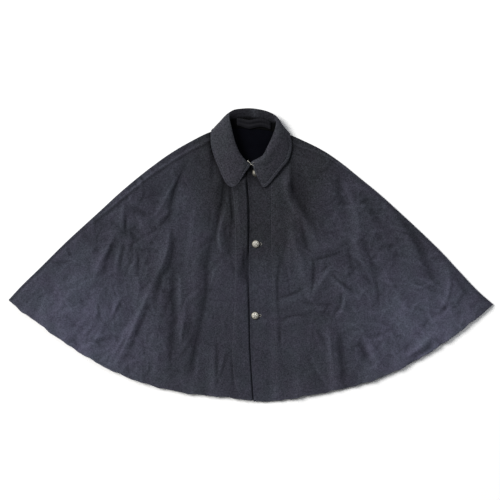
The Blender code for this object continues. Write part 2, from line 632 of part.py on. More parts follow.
def make_wire(name, route, collection):
    """Bent wire through a few points in millimetres."""
    curve = bpy.data.curves.new(name, "CURVE")
    curve.dimensions = "3D"
    curve.bevel_depth = HOOK_WIRE * MM
    curve.bevel_resolution = 2
    curve.use_fill_caps = True
    spline = curve.splines.new("POLY")
    spline.points.add(len(route) - 1)
    for control, point in zip(spline.points, route):
        control.co = (point[0] * MM, point[1] * MM, point[2] * MM, 1)
    obj = bpy.data.objects.new(name, curve)
    collection.objects.link(obj)
    curve.materials.append(make_material(name + "_finish", SILVERED))
    return obj


def make_hook_and_eye(collection):
    """Collar hook on the right end and its eye on the left end, across the gap between them."""
    hook = ((-9.6, 231.4, 20.9), (-6.3, 235.4, 20.6), (-3, 231.6, 20), (0.2, 227.2, 19), (1.2, 225.4, 18),
            (-0.2, 225.8, 17.2))
    eye = ((8, 231, 23.6), (4.4, 229, 22.6), (4.1, 225.4, 22), (7.2, 223.4, 23.2))
    make_wire("collar_hook", hook, collection)
    make_wire("collar_eye", eye, collection)


def main():
    for obj in list(bpy.data.objects):
        bpy.data.objects.remove(obj)
    cape = bpy.data.collections.new("wool_cape")
    cutters = bpy.data.collections.new("cutters")
    bpy.context.scene.collection.children.link(cape)
    bpy.context.scene.collection.children.link(cutters)

    cloth_wall("back", back_surface(ROWS, BACK_COLUMNS), CLOTH, cape, WOOL)
    cloth_wall("right_front", front_surface(-1, ROWS, FRONT_COLUMNS), CLOTH, cape, WOOL, flip=True)
    left_front = cloth_wall("left_front", front_surface(1, ROWS, FRONT_COLUMNS), CLOTH, cape, WOOL)
    collar = collar_surface(COLLAR_COLUMNS, STAND_STEPS, FOLD_STEPS, LEAF_STEPS)
    cloth_wall("collar", collar, COLLAR_CLOTH, cape, COLLAR_WOOL)
    cloth_wall("yoke_lining", lining_surface(10, 10), LINING_CLOTH, cape, DARK_CLOTH)
    cloth_wall("hanger_loop", hanger_surface(16, 3), HANGER_CLOTH, cape, DARK_CLOTH)
    for number, place in enumerate(BUTTONS, start=1):
        make_button(number, place, cape)
        slot = left_front.modifiers.new(f"slot_{number}", "BOOLEAN")
        slot.object = slot_cutter(number, place, cutters)
        slot.operation = "DIFFERENCE"
    make_hook_and_eye(cape)


main()
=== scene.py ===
"""A short wool cape with a turn-down collar, laid flat: its cloth, thread and metal.

Every panel is a function of two parameters on a grid, in millimetres, and gets its wall as a closed
shell with rounded edges. The folds and creases are tables of bent lines. MM turns them into metres.
"""

import math

import bpy
import numpy as np
from bpy.props import FloatProperty, FloatVectorProperty, PointerProperty
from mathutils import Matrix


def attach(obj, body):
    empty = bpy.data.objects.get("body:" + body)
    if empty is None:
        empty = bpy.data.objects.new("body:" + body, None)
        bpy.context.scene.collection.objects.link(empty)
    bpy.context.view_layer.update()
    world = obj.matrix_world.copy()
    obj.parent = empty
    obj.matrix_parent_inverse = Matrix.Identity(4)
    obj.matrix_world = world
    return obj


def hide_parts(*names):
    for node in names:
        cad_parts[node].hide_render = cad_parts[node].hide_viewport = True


bl_info = {
    "name": "Wool cape, laid flat",
    "version": (1, 0, 0),
    "blender": (4, 5, 0),
    "location": "View3D > Sidebar > Cape",
    "description": "Makes the cloth, stitching, buttons and stage of a wool cape laid flat",
    "category": "Add Mesh",
}

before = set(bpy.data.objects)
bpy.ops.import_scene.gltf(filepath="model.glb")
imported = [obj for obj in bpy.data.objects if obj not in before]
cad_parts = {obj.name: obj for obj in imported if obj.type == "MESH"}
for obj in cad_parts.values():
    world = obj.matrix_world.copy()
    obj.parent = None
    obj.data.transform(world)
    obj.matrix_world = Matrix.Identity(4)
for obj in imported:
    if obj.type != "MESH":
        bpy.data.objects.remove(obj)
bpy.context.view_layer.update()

MM = 0.001

# Walls and gaps, in millimetres
CLOTH = 2.2
COLLAR_CLOTH = 2.6
LINING_CLOTH = 1.0
HANGER_CLOTH = 1.6
GAP = 0.3
SIDE_ROLL = 2.0
COLLAR_ROLL = 3.0
COLLAR_END_ROLL = 1.65
COLLAR_END_SHARE = 0.15
FOOT_INSET = 1.5
SEAM_LEAN_SHARE = 0.10
LEAST_STRIP = 0.4
SLOPE_STEP = 0.002

# The hem is one arc round a point above the collar, with long shallow waves
HEM_CENTRE_X = 14.3
HEM_CENTRE_Y = 503.3
HEM_RADIUS = 868.0
TIP_X = 604.4
FRONT_CORNER_DROP = 4.0
FRONT_CORNER_WIDTH = 16.0
# Columns: x, how far the hem stands outside its arc
HEM_WAVES = (
    (-604.4, 4.0), (-540, -3.6), (-440, -3.8), (-315, -0.4), (-190, -3.6), (-60, -9.4), (9, -4.6),
    (60, -2.6), (140, -7.6), (209, -7.4), (315, -4.6), (459, -9.0), (560, -11.0), (604.4, -9.5),
)

# Columns: length, rise, shift of a wave
HEM_SCALLOPS = ((23.0, 0.5, 0.4), (38.0, 0.7, 2.1), (67.0, 0.8, 4.0))

# In each table by side, -1 is the wearer's right, on the photo's left, and 1 the wearer's left

# Side edges from the neck to the tip. Columns: x, y, width of the strip between edge and seam
RIGHT_SIDE_EDGE = (
    (-72, 316.5, 25), (-102, 308, 24.5), (-152, 284, 21.5), (-202, 254.5, 21.5), (-252, 218.5, 18.5),
    (-327, 157, 17.5), (-377, 111, 13.5), (-427, 65.5, 6), (-452, 42.5, 3.5), (-527, -31.3, 3),
    (-577, -80.2, 3),
)
LEFT_SIDE_EDGE = (
    (70.6, 307.5, 25), (98, 300.5, 23), (138, 284, 19.5), (182, 261.5, 13), (223, 233.5, 9),
    (273, 193.3, 3.5), (323, 152.3, 3), (373, 107, 3), (423, 60.5, 3), (473, 12, 3),
    (523, -41.8, 3), (570.6, -91.5, 3),
)
SIDE_EDGES = {-1: RIGHT_SIDE_EDGE, 1: LEFT_SIDE_EDGE}

# Neck seam round the collar, from the wearer's right front end to the left one.
# Columns: share of the collar's length, x, y
NECK_SEAM = (
    (0.00, -11, 219.5), (0.06, -25, 222.5), (0.12, -42, 230.5), (0.17, -57, 241), (0.23, -70, 257),
    (0.28, -78, 275), (0.325, -80.5, 293), (0.36, -77.5, 307), (0.385, -71.5, 315.6),
    (0.41, -61, 318.5), (0.50, 0, 319.5), (0.59, 58, 311), (0.615, 69.8, 306.8), (0.64, 76, 298.5),
    (0.675, 79, 284.5), (0.72, 79.5, 270), (0.77, 72.5, 253), (0.83, 57, 237.5), (0.88, 40, 227.5),
    (0.94, 21, 221), (1.00, 3, 218.5),
)
# Where the side seams meet it
SEAM_SHARE = {-1: 0.325, 1: 0.675}
# The part of it at the back of the neck, and the shares between which the back's edge follows it
BACK_NECK_HALF_SHARE = 0.128
BACK_NECK_EASE = 0.045
BACK_NECK_FROM = 0.40
BACK_NECK_TO = 0.60

# Collar fold line. Columns: share, x, y, z
COLLAR_FOLD = (
    (0.00, -2, 227, 14), (0.06, -9.4, 232.7, 17), (0.12, -18.5, 242, 21), (0.17, -27.4, 254, 24.5),
    (0.23, -35.6, 271, 27.5), (0.28, -41.5, 288, 29), (0.32, -47, 310, 30), (0.355, -51.4, 329, 29),
    (0.38, -54.5, 343, 26.5), (0.405, -52, 354, 22), (0.43, -41, 361.5, 16.5), (0.46, -24, 365, 10.5),
    (0.50, 0, 366.5, 6), (0.54, 24, 363, 9), (0.575, 44, 356.5, 16), (0.60, 58, 348, 22.5),
    (0.625, 64.5, 336, 27), (0.645, 64, 326, 29), (0.68, 60, 310, 30), (0.72, 53, 292, 29),
    (0.77, 43, 271, 27), (0.83, 31, 249, 24), (0.88, 20, 241.5, 21.5), (0.94, 8.5, 236, 18.5),
    (1.00, 1.5, 231.5, 16.5),
)

# Middle of the collar leaf. Columns: share, x, y, z
COLLAR_BELLY = (
    (0.00, -16, 205.5, 14), (0.06, -30, 205, 16), (0.12, -45, 222, 18.5), (0.17, -55, 240, 21.5),
    (0.23, -64, 260, 23.5), (0.28, -71, 281, 25), (0.32, -75, 300, 25.5), (0.355, -79, 320, 23),
    (0.38, -79, 330, 13), (0.405, -66, 339, 5), (0.43, -48, 338, 2), (0.50, 0, 333, 1.3),
    (0.57, 50, 331, 2), (0.60, 69, 332, 6), (0.625, 79, 324, 15), (0.645, 82.5, 313, 22),
    (0.68, 83, 299, 25), (0.72, 80, 280, 25), (0.77, 70, 257, 23), (0.83, 55, 235, 21.5),
    (0.88, 41, 220, 20.5), (0.94, 28, 210, 20), (1.00, 12, 206.5, 19.5),
)

# Outer edge of the collar leaf. Columns: share, x, y, z
COLLAR_EDGE = (
    (0.00, -30, 183, 11), (0.02, -38.5, 174.5, 10.5), (0.04, -47, 172, 10.5), (0.06, -54.5, 175, 10.5),
    (0.085, -62, 183, 10.5), (0.12, -70, 199, 10.5), (0.17, -80.5, 224, 11), (0.23, -90, 247, 12),
    (0.28, -97, 272, 13), (0.32, -98.5, 290, 13.5), (0.355, -98, 305, 13.5), (0.38, -94.5, 314, 7),
    (0.392, -88, 314, 1.6), (0.41, -76, 305, 1.3), (0.43, -62, 302, 1.3), (0.50, 0, 298, 1.3),
    (0.57, 56, 297, 1.3), (0.59, 72, 297, 1.3), (0.608, 87, 305, 1.6), (0.62, 94, 305, 7),
    (0.645, 97, 297, 13.5), (0.68, 100, 285, 13.5),
    (0.72, 101, 268, 13), (0.77, 93.5, 240, 12.5), (0.83, 77, 219, 12), (0.88, 57, 194, 12),
    (0.915, 46, 180.5, 12), (0.94, 39, 173.3, 12), (0.96, 33, 171.5, 12.5), (0.98, 28.5, 174.5, 13),
    (1.00, 26, 181, 14),
)

# Front edges from neck to hem. Columns: x, y
LEFT_FRONT_EDGE = ((-8, 217.8), (-5.4, 164), (-2.9, 139), (-2.6, 14), (-1.9, -111), (0.6, -236), (8.6, -362))
RIGHT_FRONT_EDGE = ((28, 220), (29, 139), (30, -111), (31, -361))
FRONT_EDGES = {-1: RIGHT_FRONT_EDGE, 1: LEFT_FRONT_EDGE}

# How high the panels lie, as the middle of the cloth above the floor
BACK_HEIGHT = CLOTH / 2
FRONT_HEIGHT = BACK_HEIGHT + 2 * SIDE_ROLL
LOWEST_FRONT = BACK_HEIGHT + CLOTH + GAP + 0.1

# Lift of the cloth round the neck, over the part of the leaf that is tucked under the back
COLLAR_LIFT = COLLAR_CLOTH + GAP + 1.0
COLLAR_LIFT_FROM_Y = 262.0
COLLAR_LIFT_DEPTH = 30.0
COLLAR_LIFT_HALF_WIDTH = 134.0
COLLAR_LIFT_SIDE = 34.0

# The right front's flat stretch under the lap
UNDERLAP_HEIGHT = 4.2
# Beside the left front's edge. Columns: y, width of the gap, width of the slope down to it
LAP_GAPS = ((-362, 1.8, 4.5), (-250, 2.0, 4.5), (-110, 2.2, 5.0), (-78, 2.4, 7.5), (-50, 2.8, 11.0),
            (-15, 2.8, 11.0), (8, 2.4, 6.5), (60, 2.4, 4.5), (150, 3.4, 4.5), (220, 3.4, 4.5))
# Where it rises to clear the lining
YOKE_RISE_FROM_Y = 160.0
YOKE_RISE_DEPTH = 30.0

# The left front's lap over it, and its lifted front edge
LAP_REACH = 34.0
LAP_EASE = 26.0
LAP_CLEARANCE = GAP + 0.2
LAP_FOLDS_FROM_X = 20.0
LAP_FOLDS_EASE = 25.0
FRONT_EDGE_X = -8.0
FRONT_EDGE_LIFT = 1.8
FRONT_EDGE_EASE = 14.0

# The leaf presses the folds under it flat
PRESSED_FROM_Y = 175.0
PRESSED_DEPTH = 30.0
PRESSED_HALF_WIDTH = 105.0
PRESSED_SIDE = 15.0
LEAST_PRESSED_FOLD = 0.25

# Main folds. Columns: start x, y, bend x, y, end x, y, height, half width
RIGHT_FRONT_FOLDS = (
    (-70, 205, -65, 148, -80, 100, -3.4, 9), (-80, 110, -87, 60, -98, 10, -1.8, 8),
    (-103, 35, -110, -22, -112, -110, -2, 12), (-66, 104, -86, 43, -66, -30, 2.4, 8),
    (-84, -10, -88, -75, -84, -120, 1.6, 14), (-163, 240, -196, 165, -204, 90, -2.3, 11),
    (-206, 66, -206, 0, -246, -66, 4, 13), (-252, -80, -280, -166, -332, -268, 3.4, 12),
    (-321, 122, -322, 95, -319, 64, 2.4, 9), (-307, 14, -280, -47, -284, -120, 3, 13),
    (-190, 20, -188, -110, -194, -240, -2.4, 13), (-176, -50, -169, -128, -174, -215, 3, 11),
    (-114, -90, -127, -190, -152, -290, -2, 12), (-338, 50, -360, 8, -398, -66, 2.8, 14),
    (-440, -60, -470, -110, -500, -150, 2.5, 22), (-130, 60, -140, -40, -142, -130, 2.65, 16),
    (-262, 96, -274, 69, -262, 30, 2, 15), (-390, 20, -430, -60, -450, -150, 2.03, 24),
    (-255, -150, -235, -240, -225, -320, 2.81, 18), (-90, -220, -92, -290, -86, -345, 2.34, 15),
    (-520, -90, -545, -120, -560, -140, 1.4, 16), (-236, 208, -236, 161, -244, 110, -2.6, 16),
    (-338, 45, -351, 2, -372, -50, -2, 10), (-592, -108, -562, -110, -532, -136, -1.8, 18),
)
LEFT_FRONT_FOLDS = (
    (91, 236, 84, 177, 100, 130, 4.2, 11), (124, 215, 118, 168, 160, 88, -3.2, 15),
    (100, 132, 134, 101, 160, 18, 3.6, 10), (102, 108, 98, 41, 150, -94, 3.2, 12),
    (160, 14, 187, 22, 226, 22, 2.6, 12), (156, -100, 178, -59, 199, -30, 3.4, 12),
    (202, -56, 230, -85, 258, -110, 3.4, 12), (234, -96, 242, -132, 210, -160, 2.6, 11),
    (74, -118, 101, -113, 140, -104, 2, 10), (130, -130, 165, -137, 200, -132, 1.8, 10),
    (80, -174, 102, -161, 132, -160, 1.8, 10), (246, 150, 273, 87, 272, -60, 3, 13),
    (374, 92, 429, 39, 440, -34, -2.2, 14), (190, -176, 203, -245, 212, -334, 3.2, 11),
    (288, -206, 307, -253, 330, -288, 3, 13), (384, -250, 417, -232, 454, -198, 2.8, 12),
    (73, -10, 64, -90, 74, -170, -1.3, 6), (212, 205, 216, 162, 236, 110, -2.1, 14),
    (330, -100, 380, -160, 430, -210, 2.0, 20), (484, -40, 507, -91, 478, -138, 2, 14),
    (120, -200, 118, -270, 112, -350, 1.0, 14), (345, 128, 422, 55, 492, -14, 2.2, 9),
    (222, -200, 232, -255, 234, -330, -1.9, 11), (276, -220, 293, -260, 306, -308, -2.1, 10),
    (276, 150, 306, 114, 328, 70, -2.3, 10), (268, 62, 308, -1, 316, -60, -1.6, 12),
)
FOLDS = {-1: RIGHT_FRONT_FOLDS, 1: LEFT_FRONT_FOLDS}

# Sharper creases on top of the folds. Columns as above, then how much of a trough follows the ridge:
# above 0 it is on the left of the line as it runs, below 0 on the right
RIGHT_FRONT_CREASES = (
    (-68, 196, -62, 161, -72, 122, -3.2, 6, 0), (-72, 126, -83, 77, -90, 40, -2.2, 4.2, 0),
    (-90, 46, -108, 7, -110, -60, -1.2, 6.5, 0), (-109, -50, -108, -100, -128, -190, -1.4, 5.4, 0),
    (-128, -182, -136, -217, -153, -312, -1.6, 7, 0), (-62, 110, -90, 61, -70, 0, 1.6, 4, 0),
    (-54, 176, -47, 130, -44, 84, -3.6, 4.4, 0), (-46, 96, -51, 52, -52, 0, -1.5, 5.5, 0),
    (-60, 78, -67, 56, -54, 10, -1.3, 4.5, 0), (-52, 8, -43, -24, -38, -60, -1, 5, 0),
    (-14, 12, -16, -23, -14, -66, -3.6, 6, 0), (-26, -24, -22, -46, -26, -64, -1.4, 6, 0),
    (-34, 164, -32, 101, -24, 24, 1.4, 4.1, 0), (-160, 230, -198, 158, -203, 86, -2.4, 5.2, 0),
    (-196, 108, -209, 89, -234, 66, -2.2, 5.5, 0), (-176, 208, -211, 144, -234, 104, 2, 5.2, 0),
    (-311, 98, -311, 77, -311, 52, -3.2, 3.6, 0), (-318, 118, -322, 100, -319, 74, 1.4, 4, 0),
    (-304, 58, -295, 54, -282, 34, -2.2, 5.5, 0), (-294, 52, -290, 36, -298, 12, -1.5, 4, 0),
    (-286, 94, -271, 79, -260, 60, 1.4, 7, 0), (-300, 119, -283, 112, -254, 98, -1.8, 8, 0),
    (-336, 58, -359, 14, -394, -62, 2, 5, 0), (-338, 44, -351, 4, -368, -44, -1.5, 8.5, 0),
    (-324, 28, -331, 5, -338, -38, 1.8, 3.8, 0), (-316, 26, -322, 1, -324, -36, -1.8, 4, 0),
    (-328, -100, -332, -124, -347, -148, 1.9, 3.6, 0), (-321, -110, -326, -128, -340, -146, -1.5, 3.6, 0),
    (-285, 14, -276, -11, -282, -48, -1.8, 3.6, 0), (-295, 18, -291, 4, -303, -18, -1.2, 3.6, 0),
    (-285, -52, -271, -74, -285, -112, 1.6, 4, 0), (-192, 56, -188, 1, -209, -42, -1.9, 6.5, 0),
    (-208, -38, -227, -52, -242, -122, -1.6, 7, 0), (-203, 66, -202, -3, -240, -60, 2, 4.4, 0),
    (-240, -60, -272, -135, -336, -270, 3.2, 4.6, 0), (-250, -118, -262, -147, -322, -276, -2, 5, 0),
    (-300, -168, -317, -208, -346, -256, 2.3, 3.8, 0), (-292, -170, -309, -208, -338, -262, -1.4, 3, 0),
    (-192, -44, -200, -96, -189, -165, -1.8, 7, 0), (-188, -158, -198, -195, -199, -300, -1.8, 7, 0),
    (-219, -74, -227, -161, -252, -241, 0.9, 6.1, 0), (-177, -54, -174, -84, -176, -122, 2.1, 3.8, 0.3),
    (-164, -146, -170, -180, -177, -222, 2, 4, 0.4), (-150, -146, -150, -172, -158, -210, -1.5, 6, 0),
    (-84, -211, -84, -281, -84, -346, -2.04, 4.1, 0), (-49, -224, -44, -286, -44, -341, -1.22, 4.8, 0),
    (-137, 126, -152, 39, -162, -49, 1.09, 6.8, 0.3), (-377, -111, -407, -156, -452, -198, 0.8, 5.4, 0.4),
    (-439, -86, -477, -124, -507, -156, 1.09, 6.1, 0.3), (-252, 39, -262, -16, -282, -74, 0.8, 4.1, 0.4),
    (-357, -111, -367, -174, -389, -231, 0.8, 5.4, 0.4), (-233, -244, -228, -258, -222, -264, -1.6, 5, 0),
    (-241, -260, -238, -272, -228, -284, -1.5, 4, 0), (-226, -196, -215, -221, -208, -250, 1.4, 4.5, 0),
    (-390, -210, -378, -220, -366, -231, -1.4, 6, 0),
)
LEFT_FRONT_CREASES = (
    (102, 240, 103, 186, 112, 148, -3.2, 8, 0), (112, 156, 129, 119, 158, 78, -1.8, 9, 0),
    (104, 176, 107, 161, 126, 150, -2, 8, 0), (128, 84, 130, 46, 148, 8, -1.8, 5.2, 0),
    (155, -4, 162, -47, 150, -102, -2.2, 3.6, 0), (154, -9, 178, -10, 226, 9, -2.2, 3.2, 0),
    (150, 72, 164, 45, 162, 14, 1.6, 4.5, 0), (104, 60, 113, 2, 134, -16, 1.4, 5, 0),
    (158, -92, 178, -63, 198, -30, 1.8, 3.6, 0), (176, -42, 182, -36, 197, -22, -1.6, 3.6, 0),
    (203, -47, 222, -66, 250, -86, -2, 3.2, 0), (203, -58, 230, -81, 258, -108, 2, 3.6, 0),
    (222, -84, 236, -114, 206, -152, -2, 4, 0), (232, -98, 240, -128, 212, -158, 1.6, 3.6, 0),
    (66, -106, 98, -101, 130, -84, -2, 3, 0), (128, -116, 154, -123, 204, -122, -1.4, 3.2, 0),
    (76, -165, 88, -147, 140, -149, -1.6, 3.2, 0), (73, -164, 71, -196, 77, -244, -1.6, 3, 0),
    (76, -16, 64, -54, 68, -116, -1.4, 4, 0), (198, -118, 188, -135, 178, -148, -1.3, 4, 0),
    (245, 26, 244, -15, 258, -36, -1.9, 5.5, 0), (260, -34, 249, -49, 234, -52, -1.5, 5, 0),
    (230, -66, 238, -82, 262, -90, -1.4, 6, 0), (216, -184, 230, -217, 233, -326, -1.4, 8, 0),
    (190, -172, 199, -203, 204, -310, 1.6, 4.2, 0), (274, -214, 263, -229, 248, -240, -1.5, 6, 0),
    (275, -214, 278, -239, 304, -276, -1.7, 6.5, 0), (281, -196, 296, -235, 328, -278, 1.8, 5, 0),
    (228, 186, 267, 125, 270, 60, 1.6, 6, 0), (278, 146, 302, 113, 326, 76, -1.2, 8, 0),
    (268, 58, 301, 6, 314, -54, -1, 8, 0), (312, -56, 320, -92, 319, -128, -1.6, 4.4, 0),
    (356, 34, 350, 20, 344, 6, -1.4, 5, 0), (364, 14, 366, -6, 352, -26, -1.2, 6, 0),
    (330, -28, 345, -79, 388, -118, 1.6, 4.4, 0.3), (376, 90, 429, 35, 438, -24, -1.5, 9.5, 0),
    (436, -22, 449, -41, 466, -80, -1.6, 8.5, 0), (402, -62, 414, -97, 450, -64, 1.9, 3.6, 0.4),
    (394, -88, 407, -88, 424, -96, 1.5, 4, 0), (491, -34, 506, -94, 468, -138, 2.2, 3.8, 0.5),
    (462, -32, 476, -21, 490, -14, 1.3, 3.4, 0), (474, -142, 484, -130, 494, -126, -1.6, 4, 0),
    (505, -44, 528, -81, 544, -98, -1.9, 5.5, 0), (382, -253, 414, -242, 453, -199, 2.2, 4.2, 0),
    (396, -268, 427, -242, 470, -208, -1.8, 4.5, 0), (456, -200, 468, -213, 480, -230, -2.2, 5, 0),
    (384, -240, 390, -227, 396, -218, -1.8, 5, 0), (440, -158, 438, -171, 428, -180, -1.4, 5, 0),
    (436, -128, 443, -152, 462, -176, 1.2, 4.5, 0.3), (88, 196, 80, 152, 120, 100, 1.8, 5, 0),
    (288, 194, 363, 101, 423, -16, 0.8, 6.8, 0.5), (220, 206, 216, 169, 236, 120, -1.6, 8, 0),
)
CREASES = {-1: RIGHT_FRONT_CREASES, 1: LEFT_FRONT_CREASES}

# Points on a fold's line, how it fades at its ends, and, in half widths, where a trough lies beside it
# and how far from the line the fold is still worked out
FOLD_LINE_POINTS = 40
FOLD_END = 0.06
FOLD_FADE = 0.6
TROUGH_OFFSET = 1.7
FOLD_REACH = 4.0

# Air under the fronts, from the lap and the side edge inwards
PUFF = 4.2
LEFT_PUFF_FROM_X = 44.0
PUFF_EASE = 24.0

# How the cloth's tint follows the crests of its creases and folds: paler on the crests, partly rubbed wear
# and partly painted highlight, and darker in the troughs, painted shade
CREST_HEIGHT = 1.5
CREST_TINT = 0.42
FOLD_TINT = 0.35

# Painted shade beside the collar's leaf: how much darker it is there, still more at the shoulders, and at the
# leaf's two ends
LEAF_SHADE_WIDTH = 11.0
LEAF_SHADE_TINT = {-1: 0.46, 1: 0.16}
LEAF_SHADE_SHOULDER_TINT = 0.30
LEAF_SHADE_SHOULDER_Y = 235.0
LEAF_SHADE_SHOULDER_EASE = 40.0
LEAF_END_SHADE_TINT = 0.34
LEAF_POINTS = 160
LEAF_END_POINTS = 20

# Painted shade in the notch between those ends, and along the side seams: how much darker it is there
NOTCH = (-2.0, 213.0)
NOTCH_REACH = 28.0
NOTCH_SHADE_TINT = 0.74
SEAM_SHADE_TINT = {-1: 0.40, 1: 0.12}
SEAM_SHADE_WIDTH = 4.0

# Small creases strewn over a front: how many, where, and their least and most measures
SMALL_CREASES = 70
SMALL_CREASE_X = (60.0, 560.0)
SMALL_CREASE_Y = (-300.0, 200.0)
SMALL_CREASE_LENGTH = (22.0, 95.0)
SMALL_CREASE_HEIGHT = (0.35, 1.15)
SMALL_CREASE_WIDTH = (2.8, 6.5)
SMALL_CREASE_TURN = 0.5
SMALL_CREASE_BEND = 0.12
SMALL_CREASE_TROUGH = 0.6
CREASE_CENTRE_Y = 330.0

# Long shallow waves over a front
BUCKLES = 26
BUCKLE_LENGTH = (34.0, 130.0)
BUCKLE_HEIGHT = 0.30

# Fine crisp lines over a front, kept in patches, and lower near the front edge
CRUMPLES = 18
CRUMPLE_LENGTH = (34.0, 95.0)
CRUMPLE_WIDTH = (2.6, 4.6)
CRUMPLE_HEIGHT = (0.42, 1.05)
CRUMPLE_BEND = 1.1
CRUMPLE_BEND_WAVE = 2.3
CRUMPLE_PATCH_WAVES = (3.1, 3.7)
CRUMPLE_PATCH_BASE = 0.2
CRUMPLE_FROM_X = 90.0
CRUMPLE_EASE = 220.0
CRUMPLE_NEAR = 0.35
SEEDS = {-1: 11, 1: 29}

# Flutes of the hem. Columns: x, height, half width
HEM_FLUTES = (
    (-560, 1.6, 20), (-517, 2.2, 16), (-467, 1.8, 18), (-410, 1.4, 20), (-339, 2.4, 20), (-282, 1.2, 18),
    (-226, 1.0, 22), (-150, 1.6, 16), (-89, 2.0, 14), (64, 1.2, 14), (118, 1.6, 14), (210, 2.0, 16),
    (300, 2.2, 16), (368, 1.4, 18), (430, 1.8, 14), (463, 2.4, 12), (493, 2.0, 12), (548, 1.6, 16),
)
FLUTE_DEPTH = 48.0

# Stitching on the fronts, from the collar to the hem. Columns: x, y
LEFT_PLACKET = ((51.5, 190), (51.9, 164), (52.4, 14), (55.6, -86), (60.6, -186), (64.1, -304.8),
                (62.1, -319.3), (56.9, -343), (50.6, -350.3))
RIGHT_PLACKET = ((-48, 178), (-44.5, 162), (-40.8, 135), (-39.2, 110), (-38, 30), (-39.4, -111),
                 (-39.8, -304.8), (-34.9, -329.5), (-26.1, -344))
ROUTE_POINTS = 160
PLACKET_RISE = 0.8
PLACKET_EASE = 3.0
STITCH_GROOVE = 0.5
STITCH_GROOVE_WIDTH = 2.4
PUCKER = 0.18
PUCKER_LENGTH = 11.0
SECOND_PUCKER = 0.6
SECOND_PUCKER_LENGTH = 1.7 * PUCKER_LENGTH
PUCKER_WIDTH = 7.0
SEAM_RIDGE = 1.8
SEAM_RIDGE_WIDTH = 3.2
SEAM_RIDGE_AT = 4.2
# How much paler the seam ridge's crest is: painted highlight
RIDGE_HIGHLIGHT_TINT = 0.30
STITCH_FROM_SEAM = (1.4, 7.0)
SEAM_FROM_ROW = 6
SEAM_TO = {-1: 0.60, 1: 0.36}
SEAM_FADE = 0.1
COLLAR_STITCH_IN = 6.0
COLLAR_RIM = 0.5
COLLAR_RIM_WIDTH = 2.0
RELIEF_EDGE = 14.0

# Buttons. Columns: x, y
BUTTONS = ((13, 206.5), (12.4, 29), (10.8, -149.3))
BUTTON_NAMES = ("top", "middle", "lower")
BUTTON_RADIUS = 9.6
DOME_RADIUS = 8.6
BUTTON_RIM = 1.4
BUTTON_DOME = 4.2
SHANK_COLLAR = 0.5
SHANK_RADIUS = 1.2
SHANK_FOOT_RADIUS = 2.6
BUTTON_STEPS = 96
# Dark rim of a button
RIM_TARNISH = 0.95
RIM_TARNISH_FROM = 7.4
RIM_TARNISH_EASE = 1.2
# How far the bright metal is tarnished, and how much of its brightness the darkened copy keeps, painted shade
# under the collar's leaf
TARNISHED = 0.25
SHADED_SHARE = 0.28
# Each button is also darkened from its left side to its middle, as painted shade
SIDE_SHADE = (0.0, 0.50, 0.40)
SIDE_SHADE_TO = 2.0
SIDE_SHADE_EASE = 4.5
# Low petals on the dome, out to a share of its radius, and the rope round it
PETALS = 5
PETALS_TO = 0.84
PETAL_ROUNDNESS = 0.9
PETAL_FADE = 0.8
PETAL_RELIEF = 0.42
HOLLOW_TARNISH = 0.9
ROPE_STRANDS = 44
ROPE_RELIEF = 0.16

# Profile of a button, from its crown over the rim to the shank
CROWN_SHARE = 0.03
DOME_RINGS = 26
DOME_CROWDING = 0.85
DOME_FLATNESS = 0.97
DOME_SUNK = 0.5
BOSS_SHARE = 0.17
BOSS_HEIGHT = 1.2
RIM_RINGS = 15
RIM_SUNK = 0.35
RIM_HALF_HEIGHT = 0.85
RIM_INSET = 0.1
ROPE_SLANT = 2.2

# Buttonholes: a slot from beside the button to a round eye, and the thread that binds it
SLOT_FROM = -3.0
SLOT_TO = 14.5
SLOT_HALF_WIDTH = 0.9
EYELET_RADIUS = 2.1
EYELET_POINTS = 33
SLOT_END_POINTS = 13
CUTTER_TOP = 30.0
BINDING_MARGIN = 0.7
BINDING_POINTS = 150
BINDING_RADIUS = 0.75
BINDING_RIPPLE = 0.16
BINDING_RIPPLES = 50
BINDING_SIDES = 8
BINDING_LIFT = 0.1

# Hook and eye. Columns: x, y, z
WIRE_POINTS = 40
WIRE_SIDES = 12
HOOK = ((-8.4, 236.4, 18.6), (-7.2, 235.2, 20.6), (-3.2, 231.4, 20.4), (0.4, 228.0, 19.4), (1.4, 226.2, 18),
        (-0.2, 226.0, 17.2))
EYE = ((8, 231, 23.6), (4.4, 229, 22.6), (4.1, 225.4, 22), (7.2, 223.4, 23.2))

# Hanger loop over the back of the neck. Columns: x, y of the upper edge, y of the lower edge
HANGER = (
    (-34, 341, 325), (-27, 340.5, 323.5), (-2, 336.5, 316.5), (11, 339, 319), (24, 340, 321.5),
    (36, 337.5, 320), (49, 331, 315),
)
HANGER_TOP_RISE = 6.0
HANGER_FOOT_RISE = 0.9
HANGER_WAVE = 1.6
STAND_BLEND = 2.0

# Lining seen through the neck. Columns: distance below the neck seam, left x, right x
LINING_SIDES = ((1.0, -62, 60), (30, -66, 64), (60, -64, 62), (88, -52, 50), (112, -34, 34))
LINING_EASE = 0.9
LINING_EASE_Y = 268.0
LINING_EASE_DEPTH = 16.0

# How finely the surfaces are divided
ROWS = 205
ROW_CROWDING = 1.25
FRONT_COLUMNS = 225
FINE_COLUMNS = 50
FINE_SHARE = 0.085
BACK_COLUMNS = 70
ROLL_STEPS = 8
STRIP_STEPS = 12
COLLAR_COLUMNS = 260
COLLAR_CROWDING = 0.30
STAND_STEPS = 16
FOLD_STEPS = 12
LEAF_STEPS = 34
RIM_STEPS = 4
LINING_GRID = (50, 60)
LINING_NECK_POINTS = 41
HANGER_GRID = (110, 12)
# Coarse collar that the hanger leans on: columns, steps of the stand, the fold and the leaf
COARSE_COLLAR = (120, 12, 4, 4)
PLACKET_POINTS = 400
COLLAR_STITCH_FROM_COLUMN = 8

